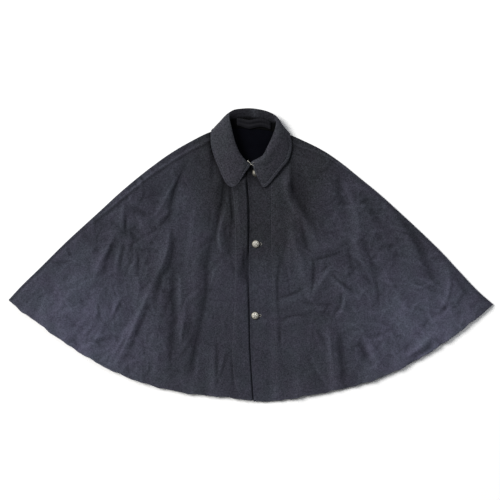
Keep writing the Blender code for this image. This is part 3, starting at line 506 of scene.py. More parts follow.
# A stitch: its rings and sides, its bow and how deep its ends lie in radii, and how thick it is
STITCH_RINGS = 5
STITCH_SIDES = 5
STITCH_BOW = 1.5
STITCH_SUNK = 0.75
STITCH_THIN = 0.72
STITCH_SWELL = 0.28

FAR = 1000.0
TINY = 1e-9

# How far from their edges the cloths are worn
PANEL_WEAR_DEPTH = 2.5
COLLAR_WEAR_DEPTH = 2.2

COLLAR_WEAR = 0.35

# Painted shade on the stand's inside, in steps across the stand and shares along the collar
INNER_SHADE_TINT = 0.08
INNER_TO = 1.1
INNER_FADE = 3.0
BAND_DEPTH = 0.48
BAND_SHARE = 0.505
BAND_EASE = 0.04
BAND_SHADE_TINT = 0.42
BAND_PATCH_TINT = 0.36
BAND_PATCH_SHARE = 0.515
BAND_PATCH_WIDTH = 0.016

# Stage, in metres and degrees
VIEW_WIDTH = 1.25
VIEW_CENTRE = (-0.0019, 0.0140)
LENS = 85.0
SENSOR = 36.0
FLOOR_HALF = 6.0
KEY_PLACE = (-8.2, 4.2, 8.0)
KEY_SIZE = 5.6
KEY_POWER = 1950.0
FILL_PLACE = (2.6, 2.6, 4.2)
FILL_SIZE = 1.8
FILL_POWER = 70.0
SKY_STRENGTH = 0.18

# Tone of the wool, painted light: its share by the middle of the fronts, and in metres where it starts and
# where the pools of painted light are
FIRST_TONE = 0.32
NECK_CENTRE = (0.03, 0.18, 0.0)
LIGHT_POOL_CENTRE = (0.43, -0.19, 0.0)
# The deep fibres at the hem are so much of the pale ones
OUTER_DEEP = 0.58

# Bumps of the materials, in metres
BUMP_STRENGTH = 0.6
WOOL_BUMP = 0.0006
TWILL_BUMP = 0.0003
METAL_BUMP = 0.00004
WOOL_GLOSS = {"Specular IOR Level": 0.06, "Sheen Weight": 0.04, "Sheen Roughness": 0.4}
FINISH_OUTPUTS = (("Colour", "Color"), ("Roughness", "Float"), ("Height", "Float"))
FLOOR_SHADE = 0.99


def smooth_curve(share, values, at):
    """Cubic through the rows: values at each share, with slopes from the neighbouring rows."""
    slopes = np.gradient(values, share, axis=0)
    row = np.clip(np.searchsorted(share, at, side="right") - 1, 0, len(share) - 2)
    span = share[row + 1] - share[row]
    t = (at - share[row]) / span
    t, span = t[:, None], span[:, None]
    start = (2 * t**3 - 3 * t**2 + 1) * values[row] + (t**3 - 2 * t**2 + t) * span * slopes[row]
    end = (3 * t**2 - 2 * t**3) * values[row + 1] + (t**3 - t**2) * span * slopes[row + 1]
    return start + end


def table_curve(table, at):
    """Reads a table whose first column is the share along the curve."""
    rows = np.array(table, dtype=float)
    return smooth_curve(rows[:, 0], rows[:, 1:], np.asarray(at, dtype=float))


def length_shares(points):
    """Share of the whole length at each point of a line."""
    steps = np.linalg.norm(np.diff(points, axis=0), axis=1)
    travelled = np.concatenate(([0.0], np.cumsum(steps)))
    return travelled / travelled[-1]


def even_curve(table, at):
    """Reads a table at shares of its length in the plan, given by its first two columns."""
    rows = np.array(table, dtype=float)
    return smooth_curve(length_shares(rows[:, :2]), rows, np.asarray(at, dtype=float))


def soft_step(x):
    """Rises smoothly from 0 at x = 0 to 1 at x = 1."""
    x = np.clip(x, 0.0, 1.0)
    return x * x * (3 - 2 * x)


def bell_of(away, width):
    """A bell: 1 where away is 0, falling off over the width."""
    return np.exp(-((away / width) ** 2))


def unit(vectors):
    """Vectors along the last axis, brought to length 1."""
    return vectors / np.maximum(np.linalg.norm(vectors, axis=-1, keepdims=True), TINY)


def circle(steps):
    """Angles of a full turn in even steps."""
    return np.linspace(0, 2 * math.pi, steps, endpoint=False)


def hem_y(x):
    """The hem's y at x: the arc, moved out by its waves and by small scallops."""
    waves = np.array(HEM_WAVES, dtype=float)
    x = np.asarray(x, dtype=float)
    offset = smooth_curve(waves[:, 0], waves[:, 1:], np.ravel(x))[:, 0].reshape(x.shape)
    for length, rise, shift in HEM_SCALLOPS:
        offset = offset + rise * np.sin(2 * math.pi * x / length + shift)
    return HEM_CENTRE_Y - np.sqrt((HEM_RADIUS + offset) ** 2 - (x - HEM_CENTRE_X) ** 2)


def hem_curve(start_x, end_x, at):
    """Points of the hem at even steps between two x."""
    x = start_x + (end_x - start_x) * np.asarray(at)
    return np.stack([x, hem_y(x)], axis=-1)


def side_edge(side, at):
    """Start of the roll at a side edge, its strip's width, and the direction inwards from the edge."""
    table = SIDE_EDGES[side]
    table += ((side * TIP_X, float(hem_y(side * TIP_X)), table[-1][2]),)
    at = np.asarray(at, dtype=float)
    found = even_curve(table, at)
    ahead = even_curve(table, np.clip(at + SLOPE_STEP, 0, 1))[:, :2]
    behind = even_curve(table, np.clip(at - SLOPE_STEP, 0, 1))[:, :2]
    along = unit(ahead - behind)
    inward = side * np.stack([along[:, 1], -along[:, 0]], axis=-1)
    return found[:, :2] + inward * (CLOTH / 2 + SIDE_ROLL), found[:, 2], inward


def strip_end(side, at):
    """End of the back's strip, where the side seam runs; at the neck it meets the neck seam."""
    start, strip, inward = side_edge(side, at)
    end = start + inward * np.maximum(strip - SIDE_ROLL, LEAST_STRIP)[:, None]
    neck_start, neck_strip, neck_inward = side_edge(side, np.array([0.0]))
    neck_end = neck_start + neck_inward * (neck_strip - SIDE_ROLL)[:, None]
    meets = table_curve(NECK_SEAM, [SEAM_SHARE[side]])
    fading = 1 - soft_step(np.asarray(at) / SEAM_LEAN_SHARE)
    return end + (meets - neck_end) * fading[:, None]


def collar_lift(x, y):
    """How far the cloth round the neck is lifted by the collar leaf under it."""
    near_neck = soft_step((y - COLLAR_LIFT_FROM_Y) / COLLAR_LIFT_DEPTH)
    between_sides = soft_step((COLLAR_LIFT_HALF_WIDTH - np.abs(x)) / COLLAR_LIFT_SIDE)
    return COLLAR_LIFT * near_neck * between_sides


def back_height(x, y):
    """Height of the back's middle surface."""
    return BACK_HEIGHT + collar_lift(x, y)


def fold_relief(x, y, folds):
    """Sum of the folds. Each is a bell across its own bent line, fading at both ends; a crease also has
    a shallower bell of the other sign beside it, on one side of the line."""
    relief = np.zeros(np.shape(x))
    t = np.linspace(0, 1, FOLD_LINE_POINTS)
    for x0, y0, x1, y1, x2, y2, height, half_width, *trough in folds:
        line_x = (1 - t) ** 2 * x0 + 2 * t * (1 - t) * x1 + t**2 * x2
        line_y = (1 - t) ** 2 * y0 + 2 * t * (1 - t) * y1 + t**2 * y2
        reach = FOLD_REACH * half_width
        near = ((x > line_x.min() - reach) & (x < line_x.max() + reach)
                & (y > line_y.min() - reach) & (y < line_y.max() + reach))
        here_x, here_y = x[near], y[near]
        across_x, across_y = here_x[:, None] - line_x, here_y[:, None] - line_y
        away = np.hypot(across_x, across_y)
        nearest = np.argmin(away, axis=1)
        fade = np.sin(math.pi * np.clip(t[nearest], FOLD_END, 1 - FOLD_END)) ** FOLD_FADE
        distance = away.min(axis=1) / half_width
        bell = np.exp(-(distance**2))
        if trough and trough[0]:
            run_x, run_y = np.gradient(line_x)[nearest], np.gradient(line_y)[nearest]
            picked = np.arange(len(nearest))
            turn = run_x * across_y[picked, nearest] - run_y * across_x[picked, nearest]
            signed = distance * np.sign(turn) * math.copysign(1, trough[0])
            bell -= abs(trough[0]) * np.exp(-((signed - TROUGH_OFFSET) ** 2))
        relief[near] += height * fade * bell
    return relief


def small_creases(side):
    """Strewn creases that run roughly from the neck to the hem, from a fixed seed."""
    draw = np.random.default_rng(SEEDS[side])
    n = SMALL_CREASES
    x = side * draw.uniform(*SMALL_CREASE_X, n)
    y = draw.uniform(*SMALL_CREASE_Y, n)
    run = np.arctan2(y - CREASE_CENTRE_Y, x) + draw.normal(0, SMALL_CREASE_TURN, n)
    length = draw.uniform(*SMALL_CREASE_LENGTH, n)
    bend = draw.normal(0, SMALL_CREASE_BEND, n) * length
    step_x, step_y = np.cos(run) * length / 2, np.sin(run) * length / 2
    height = draw.uniform(*SMALL_CREASE_HEIGHT, n) * draw.choice((-1, 1, 1), n)
    width = draw.uniform(*SMALL_CREASE_WIDTH, n)
    trough = draw.uniform(-SMALL_CREASE_TROUGH, SMALL_CREASE_TROUGH, n)
    middle_x, middle_y = x - np.sin(run) * bend, y + np.cos(run) * bend
    columns = (x - step_x, y - step_y, middle_x, middle_y, x + step_x, y + step_y, height, width, trough)
    return np.stack(columns, axis=1)


def buckles(side, x, y):
    """Gentle unevenness: a sum of long shallow waves in drawn directions."""
    draw = np.random.default_rng(SEEDS[side] + 1)
    relief = np.zeros(np.shape(x))
    for _ in range(BUCKLES):
        length = draw.uniform(*BUCKLE_LENGTH)
        angle, phase = draw.uniform(0, math.pi), draw.uniform(0, 2 * math.pi)
        place = (x * math.cos(angle) + y * math.sin(angle)) / length
        relief += BUCKLE_HEIGHT * (length / BUCKLE_LENGTH[1]) * np.sin(2 * math.pi * place + phase)
    return relief


def hem_flutes(x, y):
    """Low flutes that rise towards the hem."""
    from_hem = y - hem_y(np.clip(x, -TIP_X, TIP_X))
    waves = sum(height * bell_of(x - at, width) for at, height, width in HEM_FLUTES)
    return waves * bell_of(from_hem, FLUTE_DEPTH)


def crumple(side, x, y):
    """Fine crisp lines: bells across the zeros of bent waves, each kept in soft patches, and fewer near
    the front edge."""
    draw = np.random.default_rng(SEEDS[side] + 2)
    relief = np.zeros(np.shape(x))
    for _ in range(CRUMPLES):
        length = draw.uniform(*CRUMPLE_LENGTH)
        angle, turn = draw.uniform(0, math.pi), draw.uniform(0, math.pi)
        shift, width = draw.uniform(0, 2 * math.pi, 4), draw.uniform(*CRUMPLE_WIDTH)
        height = draw.uniform(*CRUMPLE_HEIGHT) * draw.choice((-1, 1, 1))
        along = (x * math.cos(angle) + y * math.sin(angle)) / length
        across = (y * math.cos(angle) - x * math.sin(angle)) / length
        bent = CRUMPLE_BEND * np.sin(CRUMPLE_BEND_WAVE * across + shift[0])
        line = np.abs(np.sin(math.pi * along + bent + shift[1]))
        first = (x * math.cos(turn) + y * math.sin(turn)) / length
        second = (y * math.cos(turn) - x * math.sin(turn)) / length
        patches = (np.sin(CRUMPLE_PATCH_WAVES[0] * first + shift[2])
                   * np.sin(CRUMPLE_PATCH_WAVES[1] * second + shift[3]))
        patch_share = soft_step(CRUMPLE_PATCH_BASE + patches)
        relief += height * patch_share * bell_of(line * length, math.pi * width)
    outer = soft_step((np.abs(x) - CRUMPLE_FROM_X) / CRUMPLE_EASE)
    return relief * (CRUMPLE_NEAR + (1 - CRUMPLE_NEAR) * outer)


def crease_relief(side, x, y):
    """The sharper creases of one front, its small strewn ones and its crumple."""
    return fold_relief(x, y, CREASES[side]) + fold_relief(x, y, small_creases(side)) + crumple(side, x, y)


def front_relief(side, x, y):
    """All the folds, creases and unevenness of one front."""
    relief = fold_relief(x, y, FOLDS[side]) + crease_relief(side, x, y)
    return relief + buckles(side, x, y) + hem_flutes(x, y)


def cloth_tint(side, x, y, kept):
    """Tint of a panel: 1, more on the crests of its creases, partly rubbed wear and partly painted highlight,
    less in their troughs as painted shade, and less beside the collar as painted shade: a bell of the
    distance from the leaf's edge."""
    def beside(line):
        away = np.hypot(x[..., None] - line[:, 0], y[..., None] - line[:, 1]).min(axis=-1)
        return bell_of(away, LEAF_SHADE_WIDTH)

    # painted shade beside the collar's leaf, deeper at the shoulders and at the leaf's ends
    shoulder = soft_step((y - LEAF_SHADE_SHOULDER_Y) / LEAF_SHADE_SHOULDER_EASE)
    painted_shade = LEAF_SHADE_TINT[side] + LEAF_SHADE_SHOULDER_TINT * shoulder
    painted_shade = painted_shade * beside(table_curve(COLLAR_EDGE, np.linspace(0, 1, LEAF_POINTS)))
    ends = [even_curve([table[end][1:3] for table in (COLLAR_FOLD, COLLAR_BELLY, COLLAR_EDGE)],
                       np.linspace(0, 1, LEAF_END_POINTS)) for end in (0, -1)]
    painted_shade = np.maximum(painted_shade, LEAF_END_SHADE_TINT * beside(np.concatenate(ends)))
    # painted shadow in the notch under the ends of the collar's leaf
    in_notch = bell_of(np.hypot(x - NOTCH[0], y - NOTCH[1]), NOTCH_REACH)
    painted_shade = np.maximum(painted_shade, NOTCH_SHADE_TINT * in_notch)
    # paler crests are partly rubbed wear and partly painted highlight; darker troughs are painted shade
    crest = crease_relief(side, x, y) + hem_flutes(x, y) + FOLD_TINT * fold_relief(x, y, FOLDS[side])
    return (1 + CREST_TINT * np.tanh(crest * kept / CREST_HEIGHT)) * (1 - painted_shade)


def from_route(route, x, y):
    """Distance from a stitched line, and whether a place is on its inner side."""
    line = even_curve(route, np.linspace(0, 1, ROUTE_POINTS))
    line_x = np.interp(y, line[::-1, 1], line[::-1, 0])
    above = line[:, 1].min()
    away = np.where(y > above, np.abs(x - line_x), np.hypot(x - line[-1, 0], y - line[-1, 1]))
    inner = np.abs(x) < np.abs(line_x)
    return away, inner


def placket(route, x, y):
    """Raised band between the front edge and its stitching, with a groove and puckers at the thread."""
    away, inner = from_route(route, x, y)
    rise = PLACKET_RISE * (0.5 + 0.5 * np.where(inner, 1, -1) * soft_step(away / PLACKET_EASE))
    groove = STITCH_GROOVE * bell_of(away, STITCH_GROOVE_WIDTH)
    wave = np.sin(2 * math.pi * y / PUCKER_LENGTH)
    wave = wave + SECOND_PUCKER * np.sin(2 * math.pi * y / SECOND_PUCKER_LENGTH)
    pucker = PUCKER * wave * bell_of(away, PUCKER_WIDTH)
    return rise - groove + pucker


def under_lap(x, y):
    """1 where the left front laps over the right one, falling to 0 across the gap beside its edge."""
    edge = np.array(LEFT_FRONT_EDGE, dtype=float)[::-1]
    gaps = np.array(LAP_GAPS, dtype=float)
    outside = np.interp(y, edge[:, 1], edge[:, 0]) - x - np.interp(y, gaps[:, 0], gaps[:, 1])
    return 1 - soft_step(outside / np.interp(y, gaps[:, 0], gaps[:, 2]))


def right_front_height(x, y, kept=1.0):
    """Height of the right front's middle surface, which is flat where the left front laps over it."""
    near_neck = soft_step((y - YOKE_RISE_FROM_Y) / YOKE_RISE_DEPTH)
    near_edge = under_lap(x, y)
    plain = FRONT_HEIGHT + (UNDERLAP_HEIGHT - FRONT_HEIGHT) * near_edge * (1 - near_neck)
    relief = front_relief(-1, x, y) * kept + placket(RIGHT_PLACKET, x, y) + PUFF * kept**2
    relief = relief * (1 - near_edge) * free_of_collar(x, y)
    return np.maximum(plain + collar_lift(x, y) + relief, LOWEST_FRONT)


def free_of_collar(x, y):
    """1 where no collar leaf lies on the fronts, falling to 0 under the leaf."""
    under_leaf = soft_step((y - PRESSED_FROM_Y) / PRESSED_DEPTH)
    return 1 - under_leaf * soft_step((PRESSED_HALF_WIDTH - np.abs(x)) / PRESSED_SIDE)


def left_front_height(x, y, kept=1.0):
    """Height of the left front's middle surface, lifted where it laps over the right front."""
    lapping = 1 - soft_step((x - LAP_REACH) / LAP_EASE)
    over_right = right_front_height(x, y, kept) + CLOTH + LAP_CLEARANCE
    at_edge = FRONT_EDGE_LIFT * (1 - soft_step((x - FRONT_EDGE_X) / FRONT_EDGE_EASE))
    relief = front_relief(1, x, y) * kept * soft_step((x - LAP_FOLDS_FROM_X) / LAP_FOLDS_EASE)
    relief += placket(LEFT_PLACKET, x, y)
    relief *= np.maximum(free_of_collar(x, y), LEAST_PRESSED_FOLD)
    relief += PUFF * soft_step((x - LEFT_PUFF_FROM_X) / PUFF_EASE) * kept**2 * free_of_collar(x, y)
    plain = FRONT_HEIGHT + collar_lift(x, y) + relief
    return np.maximum(plain * (1 - lapping) + (over_right + at_edge + relief) * lapping, LOWEST_FRONT)


def row_shares(rows):
    """Places from neck to hem, closer together at the neck."""
    return np.linspace(0, 1, rows + 1) ** ROW_CROWDING


def front_shares(columns):
    """Places from the front edge to the side seam: close together up to a share, then evenly apart."""
    fine = np.linspace(0, FINE_SHARE, FINE_COLUMNS + 1)
    return np.concatenate([fine, np.linspace(FINE_SHARE, 1, columns - FINE_COLUMNS + 1)[1:]])


def patch(first, last, top, bottom, across):
    """Grid between four edge lines: two run down its sides, two across its ends."""
    down = row_shares(first.shape[0] - 1)[:, None, None]
    across = across[None, :, None]
    between_sides = (1 - across) * first[:, None] + across * last[:, None]
    between_ends = (1 - down) * top[None] + down * bottom[None]
    corners = (1 - down) * ((1 - across) * top[0] + across * top[-1])
    corners = corners + down * ((1 - across) * bottom[0] + across * bottom[-1])
    return between_sides + between_ends - corners


def seam_ridge(side, share, from_seam):
    """Ridge of the lapped side seam on the back's strip, fading where the strip runs out."""
    fade = 1 - soft_step((share - SEAM_TO[side] + SEAM_FADE) / SEAM_FADE)
    return SEAM_RIDGE * fade * bell_of(from_seam - SEAM_RIDGE_AT, SEAM_RIDGE_WIDTH)


def front_surface(side):
    """Middle surface of a front, from its front edge to its side seam and from neck to hem, and its tint."""
    down = row_shares(ROWS)
    across = front_shares(FRONT_COLUMNS)
    seam = strip_end(side, down)
    front = even_curve(FRONT_EDGES[side], down)
    if side < 0:
        neck_rows = tuple(row[1:] for row in NECK_SEAM if row[0] < SEAM_SHARE[side])
    else:
        neck_rows = tuple(row[1:] for row in reversed(NECK_SEAM[:-1]) if row[0] > SEAM_SHARE[side])
    neck = even_curve((tuple(front[0]),) + neck_rows + (tuple(seam[0]),), across)
    hem = hem_curve(front[-1, 0], seam[-1, 0], across)
    if side > 0:
        hem[:, 1] -= FRONT_CORNER_DROP * np.exp(-(hem[:, 0] - front[-1, 0]) / FRONT_CORNER_WIDTH)
    front[-1] = hem[0]
    seam[-1] = hem[-1]
    plan = patch(front, seam, neck, hem, across)
    from_seam = np.linalg.norm(plan - plan[:, -1:], axis=2)
    kept = soft_step((from_seam + side_edge(side, down)[1][:, None]) / RELIEF_EDGE)
    height = left_front_height if side > 0 else right_front_height
    z = height(plan[..., 0], plan[..., 1], kept) + seam_ridge(side, down[:, None], -from_seam)
    tint = cloth_tint(side, plan[..., 0], plan[..., 1], kept)
    # painted shade along the side seam
    tint *= 1 - SEAM_SHADE_TINT[side] * bell_of(from_seam, SEAM_SHADE_WIDTH)
    return np.concatenate([plan, z[..., None]], axis=-1), tint


def back_surface():
    """Middle surface of the back: a strip, a roll, the flat panel, and a roll and a strip again, with
    the height of its seam ridges."""
    down = row_shares(ROWS)
    across = np.linspace(0, 1, BACK_COLUMNS + 1)
    starts = {side: side_edge(side, down)[0] for side in (-1, 1)}
    neck_rows = tuple(row[1:] for row in NECK_SEAM if BACK_NECK_FROM < row[0] < BACK_NECK_TO)
    neck = even_curve((tuple(starts[-1][0]),) + neck_rows + (tuple(starts[1][0]),), across)
    hem = hem_curve(starts[-1][-1, 0], starts[1][-1, 0], across)
    starts[-1][-1] = hem[0]
    starts[1][-1] = hem[-1]
    plan = patch(starts[-1], starts[1], neck, hem, across)
    flat = np.concatenate([plan, back_height(plan[..., 0], plan[..., 1])[..., None]], axis=-1)
    wings, ridges = {}, {}
    for side in (-1, 1):
        inward = side_edge(side, down)[2]
        end = strip_end(side, down)
        start = flat[:, 0] if side < 0 else flat[:, -1]
        angle = np.linspace(0, math.pi, ROLL_STEPS + 1)[1:]
        roll = np.repeat(start[:, None], ROLL_STEPS, axis=1)
        roll[..., :2] -= inward[:, None] * SIDE_ROLL * np.sin(angle)[None, :, None]
        roll[..., 2] += SIDE_ROLL * (1 - np.cos(angle))
        share = np.linspace(0, 1, STRIP_STEPS + 1)[1:]
        strip = start[:, None, :2] + (end - start[:, :2])[:, None] * share[None, :, None]
        x, y = strip[..., 0], strip[..., 1]
        length = np.linalg.norm(end - start[:, :2], axis=1)[:, None]
        kept = soft_step((length * share + SIDE_ROLL) / RELIEF_EDGE)
        z = back_height(x, y) + 2 * SIDE_ROLL + front_relief(side, x, y) * kept * free_of_collar(x, y)
        ridge = seam_ridge(side, down[:, None], length * (1 - share))
        z = np.maximum(z, LOWEST_FRONT) + ridge
        wings[side] = np.concatenate([roll, np.concatenate([strip, z[..., None]], axis=-1)], axis=1)
        ridges[side] = np.concatenate([np.zeros(roll.shape[:2]), ridge], axis=1)
    surface = np.concatenate([wings[-1][:, ::-1], flat, wings[1]], axis=1)
    ridge = np.concatenate([ridges[-1][:, ::-1], np.zeros(flat.shape[:2]), ridges[1]], axis=1)
    return surface, ridge


def collar_shares(columns):
    """Places along the collar, closer together at its rounded points and at its two bends."""
    even = np.linspace(0, 1, columns + 1)
    return even - COLLAR_CROWDING * np.sin(2 * math.pi * even) / (2 * math.pi)


def stand_foot(share, seam):
    """Lower edge of the stand: on the panels' neck edge, just inside it and just above the cloth."""
    along = unit(np.gradient(seam, share, axis=0))
    onto_cloth = np.stack([-along[:, 1], along[:, 0]], axis=-1)
    from_middle = np.abs(share - 0.5)
    behind = soft_step((BACK_NECK_HALF_SHARE - from_middle) / BACK_NECK_EASE)
    place = seam + onto_cloth * (FOOT_INSET * (1 - 2 * behind))[:, None]
    x, y = place[:, 0], place[:, 1]
    front = np.where(share < 0.5, right_front_height(x, y), left_front_height(x, y))
    cloth = front * (1 - behind) + back_height(x, y) * behind
    height = cloth + CLOTH / 2 + GAP + COLLAR_CLOTH / 2
    return np.concatenate([place, height[:, None]], axis=-1)


def collar_surface(columns, stand_steps, fold_steps, leaf_steps):
    """Middle surface of the collar: across it run the stand, the fold and the leaf."""
    share = collar_shares(columns)
    seam = table_curve(NECK_SEAM, share)
    fold = table_curve(COLLAR_FOLD, share)
    belly = table_curve(COLLAR_BELLY, share)
    edge = table_curve(COLLAR_EDGE, share)
    foot = stand_foot(share, seam)
    opposite = fold + (belly - fold) * (
        np.linalg.norm(foot - fold, axis=1) / np.linalg.norm(belly - fold, axis=1))[:, None]
    outward = unit(fold - (foot + opposite) / 2)
    leafward = opposite - foot
    leafward = unit(leafward - outward * np.sum(leafward * outward, axis=1)[:, None])
    from_end = soft_step(np.minimum(share, 1 - share) / COLLAR_END_SHARE)
    roll = (COLLAR_END_ROLL + (COLLAR_ROLL - COLLAR_END_ROLL) * from_end)[:, None]
    before = fold - roll * outward - roll * leafward
    after = fold - roll * outward + roll * leafward
    middle = (foot + before) / 2
    guides = np.stack([foot, middle, before, fold, after, belly, edge], axis=1)
    surface = np.empty((columns + 1, stand_steps + fold_steps + leaf_steps + 1, 3))
    for column, points in enumerate(guides):
        own = length_shares(points)
        wanted = np.concatenate([
            np.linspace(0, own[2], stand_steps + 1)[:-1],
            np.linspace(own[2], own[4], fold_steps + 1)[:-1],
            np.linspace(own[4], 1, leaf_steps + 1),
        ])
        surface[column] = smooth_curve(own, points, wanted)
    surface[..., 2] = np.maximum(surface[..., 2], COLLAR_CLOTH / 2)
    return surface


def dressed_collar():
    """The collar with its pressed rim: a low band along its outer edge, and a groove at the stitching."""
    surface = collar_surface(COLLAR_COLUMNS, STAND_STEPS, FOLD_STEPS, LEAF_STEPS)
    from_edge = distance_in(surface, ("first_row", "last_row", "last_column"))
    rim = COLLAR_RIM * soft_step((COLLAR_STITCH_IN - from_edge) / COLLAR_RIM_WIDTH)
    groove = STITCH_GROOVE * bell_of(from_edge - COLLAR_STITCH_IN, COLLAR_RIM_WIDTH)
    on_leaf = np.arange(surface.shape[1]) > STAND_STEPS + FOLD_STEPS
    relief = (rim - groove) * on_leaf
    surface += surface_normals(surface) * relief[..., None]
    surface[..., 2] = np.maximum(surface[..., 2], COLLAR_CLOTH / 2)
    return surface


def stand_shade_tint(surface):
    """Tint of the collar, all painted shade: dark on the inside of the stand up to the fold, and at the back
    of the neck only up to a band below it, which is paler in one place."""
    share = collar_shares(surface.shape[0] - 1)
    behind = soft_step((BACK_NECK_HALF_SHARE - np.abs(share - BAND_SHARE)) / BAND_EASE)
    top = STAND_STEPS * (INNER_TO - BAND_DEPTH * behind)
    inner = 1 - soft_step((np.arange(surface.shape[1]) - top[:, None]) / INNER_FADE + 0.5)
    band = BAND_SHADE_TINT + BAND_PATCH_TINT * bell_of(share - BAND_PATCH_SHARE, BAND_PATCH_WIDTH)
    beyond = soft_step((np.arange(surface.shape[1]) - STAND_STEPS - FOLD_STEPS / 3) / (FOLD_STEPS / 3))
    band = 1 - behind[:, None] * (1 - band[:, None]) * (1 - beyond)
    return band * (1 - inner * (1 - INNER_SHADE_TINT))


def lining_surface(rows, columns):
    """Middle surface of the lining, lying on the back below its neck seam."""
    sides = np.array(LINING_SIDES, dtype=float)
    found = smooth_curve(length_shares(sides[:, :1]), sides, np.linspace(0, 1, rows + 1))
    across = np.linspace(0, 1, columns + 1)
    x = found[:, 1:2] + (found[:, 2:3] - found[:, 1:2]) * across
    neck = table_curve(NECK_SEAM, np.linspace(BACK_NECK_FROM, BACK_NECK_TO, LINING_NECK_POINTS))
    y = np.interp(x, neck[:, 0], neck[:, 1]) - found[:, 0:1]
    ease = LINING_EASE * bell_of(y - LINING_EASE_Y, LINING_EASE_DEPTH)
    z = back_height(x, y) + CLOTH / 2 + GAP + LINING_CLOTH / 2 + ease
    return np.stack([x, y, z], axis=-1)


def stand_top(x, y, stand):
    """Height of the upper face of the stand and of the cloth below it, at places in the plan."""
    away = np.hypot(x[..., None] - stand[:, 0], y[..., None] - stand[:, 1])
    weight = 1 / (away**2 + STAND_BLEND**2) ** 2
    blended = np.sum(weight * stand[:, 2], axis=-1) / np.sum(weight, axis=-1)
    return blended + COLLAR_CLOTH / 2


def hanger_surface(columns, steps):
    """Middle surface of the hanger loop: a strip that leans on the stand and is sewn on at its ends."""
    rows = np.array(HANGER, dtype=float)
    across = np.linspace(0, 1, columns + 1)
    found = smooth_curve(length_shares(rows[:, :1]), rows, across)
    up = np.linspace(0, 1, steps + 1)
    x = found[:, 0:1] + 0 * up
    y = found[:, 2:3] + (found[:, 1:2] - found[:, 2:3]) * up
    stand = collar_surface(*COARSE_COLLAR)[:, :COARSE_COLLAR[1] + 1].reshape(-1, 3)
    freed = np.sqrt(np.sin(math.pi * np.clip(across, 0, 1)).clip(0))[:, None]
    rise = HANGER_FOOT_RISE + (HANGER_TOP_RISE - HANGER_FOOT_RISE) * up * freed
    rise = rise + HANGER_WAVE * freed * (1 - np.cos(4 * math.pi * up)) / 2
    return np.stack([x, y, stand_top(x, y, stand) + HANGER_CLOTH / 2 + rise], axis=-1)


def surface_normals(surface):
    """Unit normals of a grid: its step down the rows crossed with its step across the columns."""
    return unit(np.cross(np.gradient(surface, axis=0), np.gradient(surface, axis=1)))


def distance_in(surface, edges):
    """Distance of each grid point from the named edges, measured along the grid's own lines."""
    found = np.full(surface.shape[:2], FAR)
    for edge in edges:
        axis = 0 if edge.endswith("row") else 1
        grid = surface if edge.startswith("first") else np.flip(surface, axis)
        steps = np.linalg.norm(np.diff(grid, axis=axis), axis=2)
        away = np.insert(np.cumsum(steps, axis=axis), 0, 0.0, axis=axis)
        found = np.minimum(found, away if edge.startswith("first") else np.flip(away, axis))
    return found


def shell(surface, thickness):
    """Closed wall on a grid: a face half the thickness to each side, joined by a half-round rim."""
    rows, columns = surface.shape[:2]
    normals = surface_normals(surface)
    number = np.arange(rows * columns).reshape(rows, columns)
    ring = ring_of(rows, columns)
    flat, flat_normals = surface.reshape(-1, 3), normals.reshape(-1, 3)
    half = thickness / 2
    line, up = flat[ring], flat_normals[ring]
    along = np.roll(line, -1, axis=0) - np.roll(line, 1, axis=0)
    outward = unit(np.cross(up, along))
    angle = (math.pi * np.arange(1, RIM_STEPS) / RIM_STEPS)[:, None, None]
    rim = line + up * half * np.cos(angle) + outward * half * np.sin(angle)
    points = np.concatenate([flat + flat_normals * half, flat - flat_normals * half, rim.reshape(-1, 3)])
    top = np.stack([number[:-1, :-1], number[1:, :-1], number[1:, 1:], number[:-1, 1:]], axis=-1)
    top = top.reshape(-1, 4)
    count = rows * columns
    rings = [ring] + [2 * count + step * len(ring) + np.arange(len(ring)) for step in range(RIM_STEPS - 1)]
    rings.append(ring + count)
    sides = [np.stack([upper, np.roll(upper, -1), np.roll(lower, -1), lower], axis=-1)
             for upper, lower in zip(rings[:-1], rings[1:])]
    faces = np.concatenate([top, top[:, ::-1] + count] + sides)
    return points, faces


def ring_faces(start, end):
    """Four-cornered faces between two rings of point numbers, or between rows of them."""
    faces = np.stack([start, end, np.roll(end, -1, axis=-1), np.roll(start, -1, axis=-1)], axis=-1)
    return faces.reshape(-1, 4).tolist()


def tube(line, radius, sides, closed=False):
    """Round wall along a line: rings square to its run, joined; open ends are closed by a fan face."""
    run = np.roll(line, -1, axis=0) - np.roll(line, 1, axis=0) if closed else np.gradient(line, axis=0)
    run = unit(run)
    aside = unit(np.cross(run, np.array([0.0, 0.0, 1.0])))
    over = np.cross(aside, run)
    angle = circle(sides)[None, :, None]
    radius = np.broadcast_to(radius, (len(line),))[:, None, None]
    points = line[:, None] + radius * (aside[:, None] * np.cos(angle) + over[:, None] * np.sin(angle))
    number = np.arange(len(line) * sides).reshape(len(line), sides)
    start, end = (number, np.roll(number, -1, axis=0)) if closed else (number[:-1], number[1:])
    faces = ring_faces(start, end)
    if not closed:
        faces += [number[0].tolist(), number[-1, ::-1].tolist()]
    return points.reshape(-1, 3), faces


def turned(radius, height, steps):
    """Solid of revolution: rings of the given radius and height arrays, with a point at each end."""
    count = height.shape[0]
    angle = circle(steps)
    rings = np.stack([radius * np.cos(angle), radius * np.sin(angle), height], axis=-1).reshape(-1, 3)
    number = np.arange(count * steps).reshape(count, steps)
    faces = ring_faces(number[:-1], number[1:])
    tips = np.array([[0, 0, height[0].mean()], [0, 0, height[-1].mean()]])
    first, last = count * steps, count * steps + 1
    faces += [[first, a, b] for a, b in zip(number[0], np.roll(number[0], -1))]
    faces += [[last, b, a] for a, b in zip(number[-1], np.roll(number[-1], -1))]
    return np.concatenate([rings, tips]), faces


